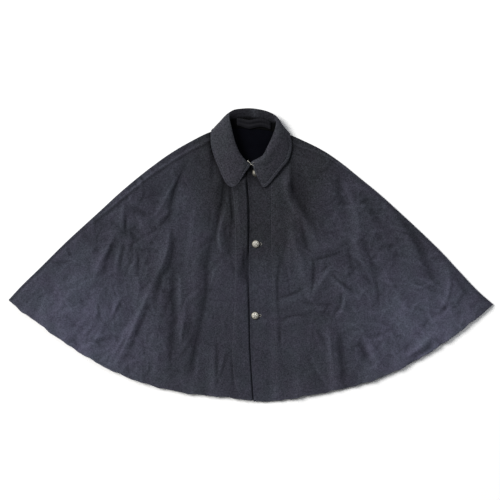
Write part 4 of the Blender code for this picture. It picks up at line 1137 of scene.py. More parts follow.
def edge_route(surface, edge, distance, half):
    """Line on a grid's upper face at a distance from an edge: points and normals."""
    axis = 0 if edge.endswith("row") else 1
    grid, normals = surface, surface_normals(surface)
    if edge.startswith("last"):
        grid, normals = np.flip(grid, axis), np.flip(normals, axis)
    if axis == 1:
        grid, normals = grid.transpose(1, 0, 2), normals.transpose(1, 0, 2)
    steps = np.linalg.norm(np.diff(grid, axis=0), axis=2)
    away = np.insert(np.cumsum(steps, axis=0), 0, 0.0, axis=0)
    row = np.clip((away < distance).sum(axis=0) - 1, 0, len(grid) - 2)
    line = np.arange(grid.shape[1])
    part = ((distance - away[row, line]) / (away[row + 1, line] - away[row, line])).clip(0, 1)[:, None]
    points = grid[row, line] * (1 - part) + grid[row + 1, line] * part
    normal = normals[row, line] * (1 - part) + normals[row + 1, line] * part
    return points + normal * half, normal


def stitches(points, normals, pitch, length, radius):
    """Separate stitches along a line: each a short thread that rises out of the cloth and dips back in,
    as rings round a bow whose height is a sine of the share along it."""
    travelled = length_shares(points) * np.linalg.norm(np.diff(points, axis=0), axis=1).sum()
    starts = np.arange(pitch / 2, travelled[-1] - length, pitch)
    share = np.linspace(0, 1, STITCH_RINGS)
    at = starts[:, None] + length * share

    def read(values):
        return np.stack([np.interp(at, travelled, values[:, axis]) for axis in range(3)], axis=-1)

    centre, up = read(points), read(normals)
    centre += up * (radius * (STITCH_BOW * np.sin(math.pi * share) - STITCH_SUNK))[None, :, None]
    run = unit(np.gradient(centre, axis=1))
    aside = unit(np.cross(run, up))
    over = np.cross(aside, run)
    angle = circle(STITCH_SIDES)
    thick = (radius * (STITCH_THIN + STITCH_SWELL * np.sin(math.pi * share)))[None, :, None, None]
    rings = aside[:, :, None] * np.cos(angle)[:, None] + over[:, :, None] * np.sin(angle)[:, None]
    rings = centre[:, :, None] + thick * rings
    number = np.arange(rings.size // 3).reshape(rings.shape[:3])
    ends = number[:, 0].tolist() + number[:, -1, ::-1].tolist()
    return rings.reshape(-1, 3), ring_faces(number[:, :-1], number[:, 1:]) + ends


def joined(parts):
    """Puts several meshes into one."""
    points, faces, count = [], [], 0
    for own_points, own_faces in parts:
        points.append(own_points)
        faces += [[index + count for index in face] for face in own_faces]
        count += len(own_points)
    return np.concatenate(points), faces


def ring_of(rows, columns):
    """Numbers of the points round the border of a grid."""
    number = np.arange(rows * columns).reshape(rows, columns)
    return np.concatenate([number[0, :-1], number[:-1, -1], number[-1, :0:-1], number[:0:-1, 0]])


def add_object(name, data):
    """Puts data into the scene as an object."""
    obj = bpy.data.objects.new(name, data)
    bpy.context.scene.collection.objects.link(obj)
    return obj


def make_piece(name, mesh_data, finish, slot, replaces=(), **marks):
    """Puts points in millimetres and faces into a piece, hangs it on the root, and hides the parts that it
    replaces.
    A mark is a value for each point of the piece's grid, given to both faces and the rim."""
    points, faces = mesh_data
    mesh = bpy.data.meshes.new(name)
    mesh.from_pydata((points * MM).tolist(), [], faces.tolist() if hasattr(faces, "tolist") else faces)
    mesh.shade_smooth()
    for mark, grid in marks.items():
        own = grid.ravel()
        full = np.concatenate([own, own, np.tile(own[ring_of(*grid.shape)], RIM_STEPS - 1)])
        mesh.attributes.new(mark, "FLOAT", "POINT").data.foreach_set("value", full.astype(np.float32))
    obj = add_object(name, mesh)
    mesh.materials.append(finish)
    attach(obj, "root")
    if replaces:
        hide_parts(*replaces)
    return obj


def wear(surface, edges, depth):
    """Wear that is 1 at the named edges and fades over a depth."""
    return bell_of(distance_in(surface, edges), depth)


# Materials


def put(tree, kind, inputs=None, **settings):
    """Adds a node, sets it, and gives each of its inputs a value or a link."""
    node = tree.nodes.new(kind)
    for key, value in settings.items():
        setattr(node, key, value)
    for key, value in (inputs or {}).items():
        if isinstance(value, bpy.types.NodeSocket):
            tree.links.new(value, node.inputs[key])
        else:
            node.inputs[key].default_value = value
    return node


def sums(tree, operation, first, second=0.0, clamp=False):
    """One sum on two values."""
    return put(tree, "ShaderNodeMath", {0: first, 1: second}, operation=operation, use_clamp=clamp).outputs[0]


def weighed(tree, first, first_share, second, second_share):
    """Sum of two values, each times its share."""
    first = sums(tree, "MULTIPLY", first, first_share)
    return sums(tree, "ADD", first, sums(tree, "MULTIPLY", second, second_share))


def blended(tree, share, first, second, mode="MIX"):
    """Mix of two colours."""
    node = put(tree, "ShaderNodeMix", {0: share, 6: first, 7: second}, data_type="RGBA", blend_type=mode)
    return node.outputs[2]


def ranged(tree, value, low, high, to_low=0.0, to_high=1.0):
    """A value carried from one range to another, and kept inside it."""
    inputs = {"Value": value, "From Min": low, "From Max": high, "To Min": to_low, "To Max": to_high}
    return put(tree, "ShaderNodeMapRange", inputs).outputs[0]


def noise(tree, vector, scale, detail=3.0, roughness=0.5, distortion=0.0):
    """Noise whose features are about 1 / scale metres across."""
    inputs = {"Vector": vector, "Scale": scale, "Detail": detail, "Roughness": roughness,
              "Distortion": distortion}
    return put(tree, "ShaderNodeTexNoise", inputs).outputs[0]


def stretched(tree, vector, turn, scale):
    """A vector turned about Z and stretched."""
    inputs = {"Vector": vector, "Rotation": (0, 0, turn), "Scale": scale}
    return put(tree, "ShaderNodeMapping", inputs).outputs[0]


def new_group(name, inputs, outputs):
    """Node group with named sockets. Inputs are (name, kind, default), outputs (name, kind)."""
    group = bpy.data.node_groups.new(name, "ShaderNodeTree")
    for label, kind, default in inputs:
        socket = group.interface.new_socket(name=label, in_out="INPUT", socket_type="NodeSocket" + kind)
        socket.default_value = default
    for label, kind in outputs:
        group.interface.new_socket(name=label, in_out="OUTPUT", socket_type="NodeSocket" + kind)
    return group, group.nodes.new("NodeGroupInput").outputs, group.nodes.new("NodeGroupOutput").inputs


def give(group, out, colour, roughness, height):
    """Leads a colour, a roughness and a height to a group's outputs."""
    for name, value in (("Colour", colour), ("Roughness", roughness), ("Height", height)):
        group.links.new(value, out[name])


def object_place(tree):
    """Object coordinates, which are metres in the row frame."""
    return put(tree, "ShaderNodeTexCoord").outputs["Object"]


def felted_wool_group():
    """Heathered wool: mottled deep and pale fibres, paler towards the hem by painted light in the colours it
    is given, brushed paler at worn edges, and scaled by a tint that carries painted shade and highlight.
    """
    group, given, out = new_group(
        "felted wool",
        (("Deep", "Color", (0.02, 0.02, 0.03, 1)), ("Pale", "Color", (0.05, 0.05, 0.07, 1)),
         ("Fibre", "Color", (0.2, 0.2, 0.25, 1)), ("Flecks", "Float", 0.5), ("Worn", "Float", 0.0),
         ("Tint", "Float", 1.0), ("First dye", "Color", (1.035, 0.985, 1.035, 1)),
         ("Second dye", "Color", (0.965, 1.01, 0.98, 1))),
        FINISH_OUTPUTS)
    place = object_place(group)
    cloud = noise(group, place, 270, 4, 0.70)
    clump = noise(group, place, 560, 4, 0.70)
    first = noise(group, stretched(group, place, 0.6, (2600, 420, 1500)), 1.0, 3, 0.6, 0.4)
    second = noise(group, stretched(group, place, -0.9, (2300, 380, 1500)), 1.0, 3, 0.6, 0.4)
    strands = sums(group, "MAXIMUM", first, second)
    mottle = weighed(group, cloud, 0.55, clump, 0.45)
    share = ranged(group, mottle, 0.435, 0.565)
    colour = blended(group, share, given["Deep"], given["Pale"])
    fleck = sums(group, "MULTIPLY", ranged(group, strands, 0.57, 0.74), given["Flecks"])
    fleck = sums(group, "MULTIPLY", fleck, ranged(group, cloud, 0.35, 0.65, 0.4, 1.0), True)
    colour = blended(group, fleck, colour, given["Fibre"])
    brushed = sums(group, "MULTIPLY", given["Worn"], ranged(group, clump, 0.3, 0.7, 0.0, 0.12), True)
    colour = blended(group, brushed, colour, given["Fibre"])
    dyed = blended(group, ranged(group, noise(group, place, 22, 3, 0.6), 0.35, 0.65), given["First dye"],
                   given["Second dye"])
    colour = blended(group, 1.0, colour, dyed, "MULTIPLY")
    # the tint mark carries painted shade and painted highlight, with rubbed wear on crests
    tinted = put(group, "ShaderNodeVectorMath", {0: colour, "Scale": given["Tint"]}, operation="SCALE")
    give(group, out, tinted.outputs[0], ranged(group, clump, 0.3, 0.7, 0.84, 1.0),
         weighed(group, clump, 0.6, strands, 0.4))
    return group


def light_and_tone_group():
    """Broad tone of painted light: 0 round the neck, more beyond it, 1 in a pool of light towards each tip,
    broken up softly.
    """
    group, given, out = new_group(
        "painted light and tone", (("From", "Float", 0.24), ("To", "Float", 0.03), ("Patches", "Float", 0.42)),
        (("Light and tone", "Float"),))
    place = object_place(group)

    def distance(first, second):
        node = put(group, "ShaderNodeVectorMath", {0: first, 1: second}, operation="DISTANCE")
        return node.outputs["Value"]

    from_neck = distance(stretched(group, place, 0, (1.0, 0.6, 0.0)), NECK_CENTRE)
    parts = put(group, "ShaderNodeSeparateXYZ", {0: place}).outputs
    mirrored = put(group, "ShaderNodeCombineXYZ", {0: sums(group, "ABSOLUTE", parts[0]), 1: parts[1]})
    from_patch = distance(mirrored.outputs[0], LIGHT_POOL_CENTRE)
    tone = sums(group, "ADD", ranged(group, from_neck, 0.15, 0.22, 0.0, FIRST_TONE),
                ranged(group, from_patch, given["From"], given["To"], 0.0, 1 - FIRST_TONE))
    patches = sums(group, "SUBTRACT", noise(group, place, 5.5, 3, 0.55), 0.5)
    tone = sums(group, "ADD", tone, sums(group, "MULTIPLY", patches, given["Patches"]), True)
    group.links.new(tone, out["Light and tone"])
    return group


def twill_group():
    """Fine diagonal weave: thin raised ribs crossed by the gaps of the weft."""
    group, given, out = new_group(
        "twill", (("Colour", "Color", (0.01, 0.01, 0.01, 1)), ("Rib", "Color", (0.03, 0.03, 0.03, 1)),
                  ("Ribs per metre", "Float", 900.0)),
        FINISH_OUTPUTS)
    place = object_place(group)
    parts = put(group, "ShaderNodeSeparateXYZ", {0: place}).outputs
    slant = weighed(group, parts[0], 0.84, parts[1], 0.54)
    turns = sums(group, "MULTIPLY", sums(group, "MULTIPLY", slant, given["Ribs per metre"]), 2 * math.pi)
    rib = sums(group, "ADD", sums(group, "MULTIPLY", sums(group, "SINE", turns), 0.5), 0.5)
    rough = noise(group, place, 900, 4, 0.6)
    height = weighed(group, rib, 0.7, rough, 0.3)
    share = sums(group, "MULTIPLY", height, ranged(group, noise(group, place, 60, 3), 0.3, 0.7, 0.3, 1.0))
    give(group, out, blended(group, share, given["Colour"], given["Rib"]),
         ranged(group, rough, 0.3, 0.7, 0.55, 0.8), height)
    return group


def worn_metal_group():
    """Silvered metal: bright where it is rubbed, brown in its hollows, with fine scratches."""
    group, given, out = new_group(
        "worn metal", (("Bright", "Color", (0.8, 0.78, 0.7, 1)), ("Tarnish", "Color", (0.2, 0.17, 0.12, 1)),
                       ("Tarnished", "Float", 0.4), ("Tarnish and shade", "Float", 0.0)),
        FINISH_OUTPUTS)
    place = object_place(group)
    cloud = noise(group, place, 240, 5, 0.6)
    scratches = noise(group, stretched(group, place, 0.5, (900, 9000, 900)), 1.0, 3, 0.6)
    hollow = put(group, "ShaderNodeNewGeometry").outputs["Pointiness"]
    low = ranged(group, hollow, 0.47, 0.52, 1.0, 0.0)
    share = sums(group, "MULTIPLY", sums(group, "ADD", low, ranged(group, cloud, 0.45, 0.7, 0, 0.7)),
                 given["Tarnished"], True)
    # tarnish and painted shade from the rim mark
    share = sums(group, "ADD", share, given["Tarnish and shade"], True)
    give(group, out, blended(group, share, given["Bright"], given["Tarnish"]),
         ranged(group, sums(group, "ADD", cloud, scratches), 0.8, 1.3, 0.54, 0.72),
         sums(group, "ADD", sums(group, "MULTIPLY", cloud, 0.5), scratches))
    return group


def grouped(tree, name, make, inputs=None):
    """Places the named node group, made when it is first asked for, with its own values."""
    group = bpy.data.node_groups.get(name) or make()
    return put(tree, "ShaderNodeGroup", inputs, node_tree=group).outputs


def finish_from(name, constants):
    """Material with a Principled shader whose constants are set on its own sockets."""
    material = bpy.data.materials.new(name)
    material.use_nodes = True
    shader = material.node_tree.nodes["Principled BSDF"]
    for key, value in constants.items():
        shader.inputs[key].default_value = value
    return material, material.node_tree, shader


def connect(tree, shader, outputs, depth):
    """Leads a group's colour, roughness and height to the shader, the height through a bump."""
    tree.links.new(outputs["Colour"], shader.inputs["Base Color"])
    tree.links.new(outputs["Roughness"], shader.inputs["Roughness"])
    inputs = {"Height": outputs["Height"], "Strength": BUMP_STRENGTH, "Distance": depth}
    bump = put(tree, "ShaderNodeBump", inputs)
    tree.links.new(bump.outputs[0], shader.inputs["Normal"])


def scaled(colour, times):
    """A colour times a number, with its opacity left at 1."""
    return (*(min(1.0, times * v) for v in colour[:3]), 1)


def felt(tree, shader, **inputs):
    """Leads felted wool to the shader, with the marks that a wool piece carries on its mesh."""
    for socket, mark in (("Worn", "worn"), ("Tint", "tint")):
        inputs[socket] = put(tree, "ShaderNodeAttribute", attribute_name=mark).outputs["Fac"]
    connect(tree, shader, grouped(tree, "felted wool", felted_wool_group, inputs), WOOL_BUMP)


def wool_finish(name, deep, pale, outer, fibre, flecks):
    """Heathered wool whose pale fibres turn to the outer colour towards the hem, as painted light."""
    found = bpy.data.materials.get(name)
    if found:
        return found
    material, tree, shader = finish_from(name, {**WOOL_GLOSS, "Sheen Tint": (0.62, 0.66, 0.80, 1)})
    tone = grouped(tree, "painted light and tone", light_and_tone_group)["Light and tone"]
    felt(tree, shader, Deep=blended(tree, tone, deep, scaled(outer, OUTER_DEEP)),
         Pale=blended(tree, tone, pale, outer), Fibre=fibre, Flecks=flecks)
    return material


def collar_finish(name, deep, pale, fibre, flecks):
    """Heathered wool of one broad tone."""
    material, tree, shader = finish_from(name, {**WOOL_GLOSS, "Sheen Tint": (0.66, 0.68, 0.78, 1)})
    felt(tree, shader, Deep=deep, Pale=pale, Fibre=fibre, Flecks=flecks)
    return material


def twill_finish(name, colour, paler, ribs, gloss, sheen):
    """Smooth cloth with a diagonal weave, whose ribs are so many times paler than the rest."""
    constants = {"Specular IOR Level": gloss, "Sheen Weight": sheen, "Sheen Roughness": 0.4}
    material, tree, shader = finish_from(name, constants)
    inputs = {"Colour": colour, "Rib": scaled(colour, paler), "Ribs per metre": ribs}
    connect(tree, shader, grouped(tree, "twill", twill_group, inputs), TWILL_BUMP)
    return material


def metal_finish(name, bright, tarnish, tarnished):
    """Worn silvered metal."""
    found = bpy.data.materials.get(name)
    if found:
        return found
    material, tree, shader = finish_from(name, {"Metallic": 1.0})
    # the rim mark carries tarnish and painted shade, and turns the metal dull where it is high
    rim = put(tree, "ShaderNodeAttribute", attribute_name="rim").outputs["Fac"]
    inputs = {"Bright": bright, "Tarnish": tarnish, "Tarnished": tarnished, "Tarnish and shade": rim}
    connect(tree, shader, grouped(tree, "worn metal", worn_metal_group, inputs), METAL_BUMP)
    tree.links.new(ranged(tree, rim, 0.0, 1.0, 1.0, 0.0), shader.inputs["Metallic"])
    return material


def metal_finishes():
    """The bright metal, and a darkened copy for the top button and the eye, painted shade under the collar's
    leaf.
    """
    c = bpy.context.scene.cape_colours
    bright = metal_finish("worn_metal", c.metal, c.tarnish, TARNISHED)
    return bright, metal_finish("shaded_metal", scaled(c.metal, SHADED_SHARE), c.tarnish, 1.0)


def thread_finish(name, colour, paler):
    """Twisted thread."""
    found = bpy.data.materials.get(name)
    return found or twill_finish(name, colour, paler, ribs=1600.0, gloss=0.2, sheen=0.3)


# Settings that a user may change


# What all lengths, in metres, and all colours share
LENGTH = {"unit": "LENGTH", "subtype": "DISTANCE"}
COLOUR = {"size": 4, "subtype": "COLOR", "min": 0, "max": 1}


class CapeSizes(bpy.types.PropertyGroup):
    """Sizes of the cloth and the sewing."""

    cloth: FloatProperty(name="Cloth", description="Thickness of the panels",
                         default=CLOTH * MM, min=0.001, max=0.003, **LENGTH)
    collar_cloth: FloatProperty(name="Collar cloth", description="Thickness of the collar",
                                default=COLLAR_CLOTH * MM, min=0.001, max=0.003, **LENGTH)
    stitch_pitch: FloatProperty(name="Stitch pitch", description="From one stitch to the next",
                                default=0.0036, min=0.002, max=0.008, **LENGTH)
    stitch_length: FloatProperty(name="Stitch length", description="Length of thread that shows",
                                 default=0.0029, min=0.001, max=0.007, **LENGTH)
    thread_radius: FloatProperty(name="Thread radius", description="Radius of the thread",
                                 default=0.00034, min=0.0001, max=0.001, **LENGTH)
    hook_wire: FloatProperty(name="Hook wire", description="Radius of the hook's and the eye's wire",
                             default=0.00055, min=0.0003, max=0.0012, **LENGTH)


class CapeColours(bpy.types.PropertyGroup):
    """Colours of the cloth, thread, metal and floor, in linear light."""

    wool_deep: FloatVectorProperty(name="Wool, deep fibres", description="Dark fibres of the panels",
                                   default=(0.0104, 0.0106, 0.0126, 1), **COLOUR)
    wool_pale: FloatVectorProperty(name="Wool, pale fibres", description="Pale fibres near the neck",
                                   default=(0.0242, 0.0246, 0.0290, 1), **COLOUR)
    # near the hem and the tips the wool is brightened, as painted light
    wool_outer: FloatVectorProperty(name="Wool at the hem", description="Pale fibres near the hem",
                                    default=(0.0610, 0.0635, 0.0910, 1), **COLOUR)
    fibre: FloatVectorProperty(name="Single fibres", description="Light single fibres",
                               default=(0.16, 0.17, 0.22, 1), **COLOUR)
    collar_deep: FloatVectorProperty(name="Collar, deep fibres", description="Dark fibres of the collar",
                                     default=(0.0165, 0.0168, 0.0205, 1), **COLOUR)
    collar_pale: FloatVectorProperty(name="Collar, pale fibres", description="Pale fibres of the collar",
                                     default=(0.0415, 0.0420, 0.0505, 1), **COLOUR)
    lining: FloatVectorProperty(name="Lining", description="Lining cloth",
                                default=(0.0010, 0.0011, 0.0022, 1), **COLOUR)
    hanger: FloatVectorProperty(name="Hanger", description="Hanger strip",
                                default=(0.0065, 0.0065, 0.0085, 1), **COLOUR)
    thread: FloatVectorProperty(name="Thread", description="Sewing thread",
                                default=(0.064, 0.067, 0.085, 1), **COLOUR)
    buttonhole: FloatVectorProperty(name="Buttonhole thread", description="Pale binding of the buttonholes",
                                    default=(0.20, 0.195, 0.185, 1), **COLOUR)
    metal: FloatVectorProperty(name="Metal", description="Rubbed silvered metal",
                               default=(0.94, 0.92, 0.83, 1), **COLOUR)
    tarnish: FloatVectorProperty(name="Tarnish", description="Metal in the hollows",
                                 default=(0.040, 0.034, 0.022, 1), **COLOUR)
    floor: FloatVectorProperty(name="Floor", description="Pale floor",
                               default=(0.98, 0.98, 0.98, 1), **COLOUR)


def panel_finish():
    """The wool of the back and the fronts."""
    c = bpy.context.scene.cape_colours
    return wool_finish("panel_wool", c.wool_deep, c.wool_pale, tuple(c.wool_outer), c.fibre, 0.55)


class CAPE_OT_make_back(bpy.types.Operator):
    """Makes the back with its rolled side edges and the strips in front of them"""

    bl_idname = "cape.make_back"
    bl_label = "Make back"

    def execute(self, context):
        sizes = context.scene.cape_sizes
        surface, ridge = back_surface()
        x, y = surface[..., 0], surface[..., 1]
        tint = np.where(x < 0, cloth_tint(-1, x, y, 1.0), cloth_tint(1, x, y, 1.0))
        # painted highlight on the seam ridge's crest
        tint = tint * (1 + RIDGE_HIGHLIGHT_TINT * ridge / SEAM_RIDGE)
        panel = make_piece("back_panel", shell(surface, sizes.cloth / MM), panel_finish(), "wool", ["back"],
                           worn=wear(surface, ("last_row",), PANEL_WEAR_DEPTH), tint=tint)
        return {"FINISHED"}


class CAPE_OT_make_fronts(bpy.types.Operator):
    """Makes both fronts with their folds, plackets and buttonholes"""

    bl_idname = "cape.make_fronts"
    bl_label = "Make fronts"

    def execute(self, context):
        sizes = context.scene.cape_sizes
        for side, name, node, flat in ((-1, "right_front_panel", "right_front", (0.640, 0.66)),
                                       (1, "left_front_panel", "left_front", (0.612, 0.66))):
            surface, tint = front_surface(side)
            panel = make_piece(name, shell(surface, sizes.cloth / MM), panel_finish(), "wool", [node],
                               worn=wear(surface, ("last_row",), PANEL_WEAR_DEPTH), tint=tint)
            if side > 0:
                cut_buttonholes(panel)
        return {"FINISHED"}


def slot_outline(place, margin):
    """Outline of a buttonhole: a narrow slot with a round eye at its far end, counted anticlockwise."""
    width, eye = SLOT_HALF_WIDTH + margin, EYELET_RADIUS + margin
    centre = SLOT_TO - EYELET_RADIUS
    opens = math.asin(min(1.0, width / eye))
    round_eye = np.linspace(-math.pi + opens, math.pi - opens, EYELET_POINTS)
    round_end = np.linspace(math.pi / 2, 3 * math.pi / 2, SLOT_END_POINTS)
    x = np.concatenate([centre + eye * np.cos(round_eye), SLOT_FROM + width + width * np.cos(round_end)])
    y = np.concatenate([eye * np.sin(round_eye), width * np.sin(round_end)])
    return np.stack([x + place[0], y + place[1]], axis=-1)


def cut_buttonholes(panel):
    """Cuts the buttonholes through the left front with upright prisms."""
    parts = []
    for place in BUTTONS:
        outline = slot_outline(place, 0.0)
        count = len(outline)
        points = np.concatenate([np.column_stack([outline, np.full(count, z)]) for z in (0.0, CUTTER_TOP)])
        low, high = np.arange(count), np.arange(count) + count
        faces = np.stack([low, np.roll(low, -1), np.roll(high, -1), high], axis=-1).tolist()
        parts.append((points, faces + [low[::-1].tolist(), high.tolist()]))
    points, faces = joined(parts)
    mesh = bpy.data.meshes.new("slots")
    mesh.from_pydata((points * MM).tolist(), [], faces)
    cutter = add_object("slots", mesh)
    cut = panel.modifiers.new("slots", "BOOLEAN")
    cut.object, cut.operation, cut.solver = cutter, "DIFFERENCE", "MANIFOLD"
    settled = bpy.data.meshes.new_from_object(panel.evaluated_get(bpy.context.evaluated_depsgraph_get()))
    panel.modifiers.clear()
    settled.name = panel.name
    panel.data = settled
    bpy.data.objects.remove(cutter)


class CAPE_OT_make_collar(bpy.types.Operator):
    """Makes the collar: stand, fold and leaf with a stitched rim"""

    bl_idname = "cape.make_collar"
    bl_label = "Make collar"

    def execute(self, context):
        sizes = context.scene.cape_sizes
        colours = context.scene.cape_colours
        surface = dressed_collar()
        finish = collar_finish("collar_felt", colours.collar_deep, colours.collar_pale, colours.fibre, 0.5)
        worn = COLLAR_WEAR * wear(surface, ("first_row", "last_row", "last_column"), COLLAR_WEAR_DEPTH)
        collar = make_piece("turn_down_collar", shell(surface, sizes.collar_cloth / MM), finish,
                            "collar_wool", ["collar"], worn=worn, tint=stand_shade_tint(surface))
        return {"FINISHED"}


class CAPE_OT_make_neck(bpy.types.Operator):
    """Makes the lining that shows through the neck, and the hanger strip"""

    bl_idname = "cape.make_neck"
    bl_label = "Make lining and hanger"

    def execute(self, context):
        colours = context.scene.cape_colours
        finish = twill_finish("lining_twill", colours.lining, 2.2, ribs=700.0, gloss=0.02, sheen=0.0)
        lining = make_piece("neck_lining", shell(lining_surface(*LINING_GRID), LINING_CLOTH), finish,
                            "dark_cloth", ["yoke_lining"])
        finish = twill_finish("hanger_twill", colours.hanger, 1.8, ribs=900.0, gloss=0.08, sheen=0.03)
        hanger = make_piece("hanger_strip", shell(hanger_surface(*HANGER_GRID), HANGER_CLOTH), finish,
                            "dark_cloth", ["hanger_loop"])
        return {"FINISHED"}


class CAPE_OT_make_buttons(bpy.types.Operator):
    """Makes the three domed shank buttons"""

    bl_idname = "cape.make_buttons"
    bl_label = "Make buttons"

    def execute(self, context):
        bright, shaded = metal_finishes()
        rows = zip(BUTTONS, BUTTON_NAMES, SIDE_SHADE)
        for number, (place, word, side_shade) in enumerate(rows, start=1):
            finish = shaded if word == "top" else bright
            points, faces = button_mesh(place)
            piece = make_piece(f"{word}_button", (points, faces), finish, "silvered_metal",
                               [f"button_{number}"])
            across, along = points[:, 0] - place[0], points[:, 1] - place[1]
            out = np.hypot(across, along)
            rim = RIM_TARNISH * soft_step((out - RIM_TARNISH_FROM) / RIM_TARNISH_EASE)
            # painted shade on the button's left side
            left = side_shade * soft_step((SIDE_SHADE_TO - across) / SIDE_SHADE_EASE)
            hollow = 1 - petal_share(np.arctan2(along, across), out / DOME_RADIUS)
            hollow = HOLLOW_TARNISH * hollow * soft_step(PETALS_TO * DOME_RADIUS - out) * (word != "top")
            rim = np.maximum(rim, np.maximum(left, hollow))
            mark = piece.data.attributes.new("rim", "FLOAT", "POINT")
            mark.data.foreach_set("value", rim.astype(np.float32))
        return {"FINISHED"}


def petal_share(angle, out):
    """How high the petals stand: lobes round the button, which fade at its middle and at their tips."""
    lobes = np.abs(np.cos(PETALS / 2 * angle)) ** PETAL_ROUNDNESS
    return lobes * np.sin(math.pi * np.clip(out / PETALS_TO, 0, 1)) ** PETAL_FADE


def button_mesh(place):
    """Domed button on a shank: a half-round dome with low petals, and a rim of slanting strands."""
    under = np.array([place[0] - BUTTON_RADIUS, place[0], place[0] + BUTTON_RADIUS])
    seat = left_front_height(under, place[1] + 0 * under).max() + CLOTH / 2 + GAP
    foot = right_front_height(under, place[1] + 0 * under)[1] + CLOTH / 2 + GAP
    rim_foot = seat + SHANK_COLLAR
    rim_top = rim_foot + BUTTON_RIM
    angle = circle(BUTTON_STEPS)[None]
    out = (np.linspace(CROWN_SHARE, 1, DOME_RINGS) ** DOME_CROWDING)[:, None]
    dome_radius = DOME_RADIUS * out + 0 * angle
    petals = petal_share(angle, out)
    boss = np.exp(-((out / BOSS_SHARE) ** 4)) * BOSS_HEIGHT
    dome = rim_top + BUTTON_DOME * np.sqrt(np.clip(1 - (DOME_FLATNESS * out) ** 2, 0, 1)) - DOME_SUNK
    dome = dome + PETAL_RELIEF * (petals + boss)
    turn = np.linspace(math.pi, -math.pi / 2, RIM_RINGS)[:, None]
    strand = ROPE_RELIEF * np.sin(ROPE_STRANDS * angle + ROPE_SLANT * turn)
    middle = (DOME_RADIUS + BUTTON_RADIUS) / 2 - RIM_INSET
    rim_radius = middle + (BUTTON_RADIUS - middle + strand) * np.cos(turn)
    rim_height = rim_top - RIM_SUNK + (RIM_HALF_HEIGHT + strand) * np.sin(turn)
    below = np.array([(DOME_RADIUS * 0.9, rim_foot), (SHANK_FOOT_RADIUS, seat), (SHANK_RADIUS, seat - 0.2),
                      (SHANK_RADIUS, foot), (0.5 * SHANK_RADIUS, foot)])
    radius = np.concatenate([dome_radius, rim_radius, below[:, :1] + 0 * angle])
    height = np.concatenate([dome, rim_height, below[:, 1:] + 0 * angle])
    points, faces = turned(radius, height, BUTTON_STEPS)
    return points + np.array([place[0], place[1], 0.0]), faces


class CAPE_OT_make_hook_and_eye(bpy.types.Operator):
    """Makes the collar's wire hook and its eye"""

    bl_idname = "cape.make_hook_and_eye"
    bl_label = "Make hook and eye"

    def execute(self, context):
        sizes = context.scene.cape_sizes
        bright, shaded = metal_finishes()
        for name, route, node, finish in (("collar_hook_wire", HOOK, "collar_hook", bright),
                                          ("collar_eye_wire", EYE, "collar_eye", shaded)):
            line = even_curve(route, np.linspace(0, 1, WIRE_POINTS))
            make_piece(name, tube(line, sizes.hook_wire / MM, WIRE_SIDES), finish, "silvered_metal", [node])
        return {"FINISHED"}


class CAPE_OT_make_stitching(bpy.types.Operator):
    """Sews the plackets, the side seams and the collar's rim, and binds the buttonholes"""

    bl_idname = "cape.make_stitching"
    bl_label = "Make stitching"

    def execute(self, context):
        sizes = context.scene.cape_sizes
        colours = context.scene.cape_colours
        thread = thread_finish("sewing_thread", colours.thread, 1.6)
        sewn = (sizes.stitch_pitch / MM, sizes.stitch_length / MM, sizes.thread_radius / MM)
        for name, route, height in (("left_placket_stitching", LEFT_PLACKET, left_front_height),
                                    ("right_placket_stitching", RIGHT_PLACKET, right_front_height)):
            line = even_curve(route, np.linspace(0, 1, PLACKET_POINTS))
            x, y = line[:, 0], line[:, 1]
            points = np.stack([x, y, height(x, y) + CLOTH / 2], axis=-1)
            normals = np.tile((0.0, 0.0, 1.0), (len(x), 1))
            make_piece(name, stitches(points, normals, *sewn), thread, "dark_cloth")
        back = back_surface()[0]
        for side, name, strip, edge in (
                (-1, "right_seam_stitching", back[:, :STRIP_STEPS], "first_column"),
                (1, "left_seam_stitching", back[:, -STRIP_STEPS:], "last_column")):
            last = int((row_shares(ROWS) < SEAM_TO[side]).sum())
            rows = []
            for distance in STITCH_FROM_SEAM:
                points, normals = edge_route(strip[SEAM_FROM_ROW:last], edge, distance, CLOTH / 2)
                rows.append(stitches(points, normals, *sewn))
            make_piece(name, joined(rows), thread, "dark_cloth")
        collar = dressed_collar()[COLLAR_STITCH_FROM_COLUMN:-COLLAR_STITCH_FROM_COLUMN]
        points, normals = edge_route(collar, "last_column", COLLAR_STITCH_IN, COLLAR_CLOTH / 2)
        make_piece("collar_stitching", stitches(points, normals, *sewn), thread, "dark_cloth")
        bindings = []
        for place in BUTTONS:
            outline = slot_outline(place, BINDING_MARGIN)
            outline = np.concatenate([outline, outline[:1]])
            share = np.linspace(0, 1, BINDING_POINTS, endpoint=False)
            x, y = (np.interp(share, length_shares(outline), values) for values in outline.T)
            line = np.stack([x, y, left_front_height(x, y) + CLOTH / 2 + BINDING_LIFT], axis=-1)
            radius = BINDING_RADIUS + BINDING_RIPPLE * np.sin(2 * math.pi * BINDING_RIPPLES * share)
            bindings.append(tube(line, radius, BINDING_SIDES, closed=True))
        finish = thread_finish("buttonhole_thread", colours.buttonhole, 1.3)
        make_piece("buttonhole_binding", joined(bindings), finish, "dark_cloth")
        return {"FINISHED"}


def floor_finish(colour):
    """Matt floor with faint unevenness."""
    material, tree, shader = finish_from("pale_floor", {"Specular IOR Level": 0.0, "Roughness": 1.0})
    cloud = noise(tree, object_place(tree), 3.0, 3)
    faint = blended(tree, ranged(tree, cloud, 0.3, 0.7, 0.0, 1.0), scaled(colour, FLOOR_SHADE), colour)
    tree.links.new(faint, shader.inputs["Base Color"])
    return material


def area_light(name, place, size, power, colour):
    """Square soft light aimed at the middle of the cape."""
    data = bpy.data.lights.new(name, "AREA")
    data.size, data.energy, data.color = size, power, colour
    light = add_object(name, data)
    light.location = place
    direction = -light.location
    light.rotation_euler = direction.to_track_quat("-Z", "Y").to_euler()


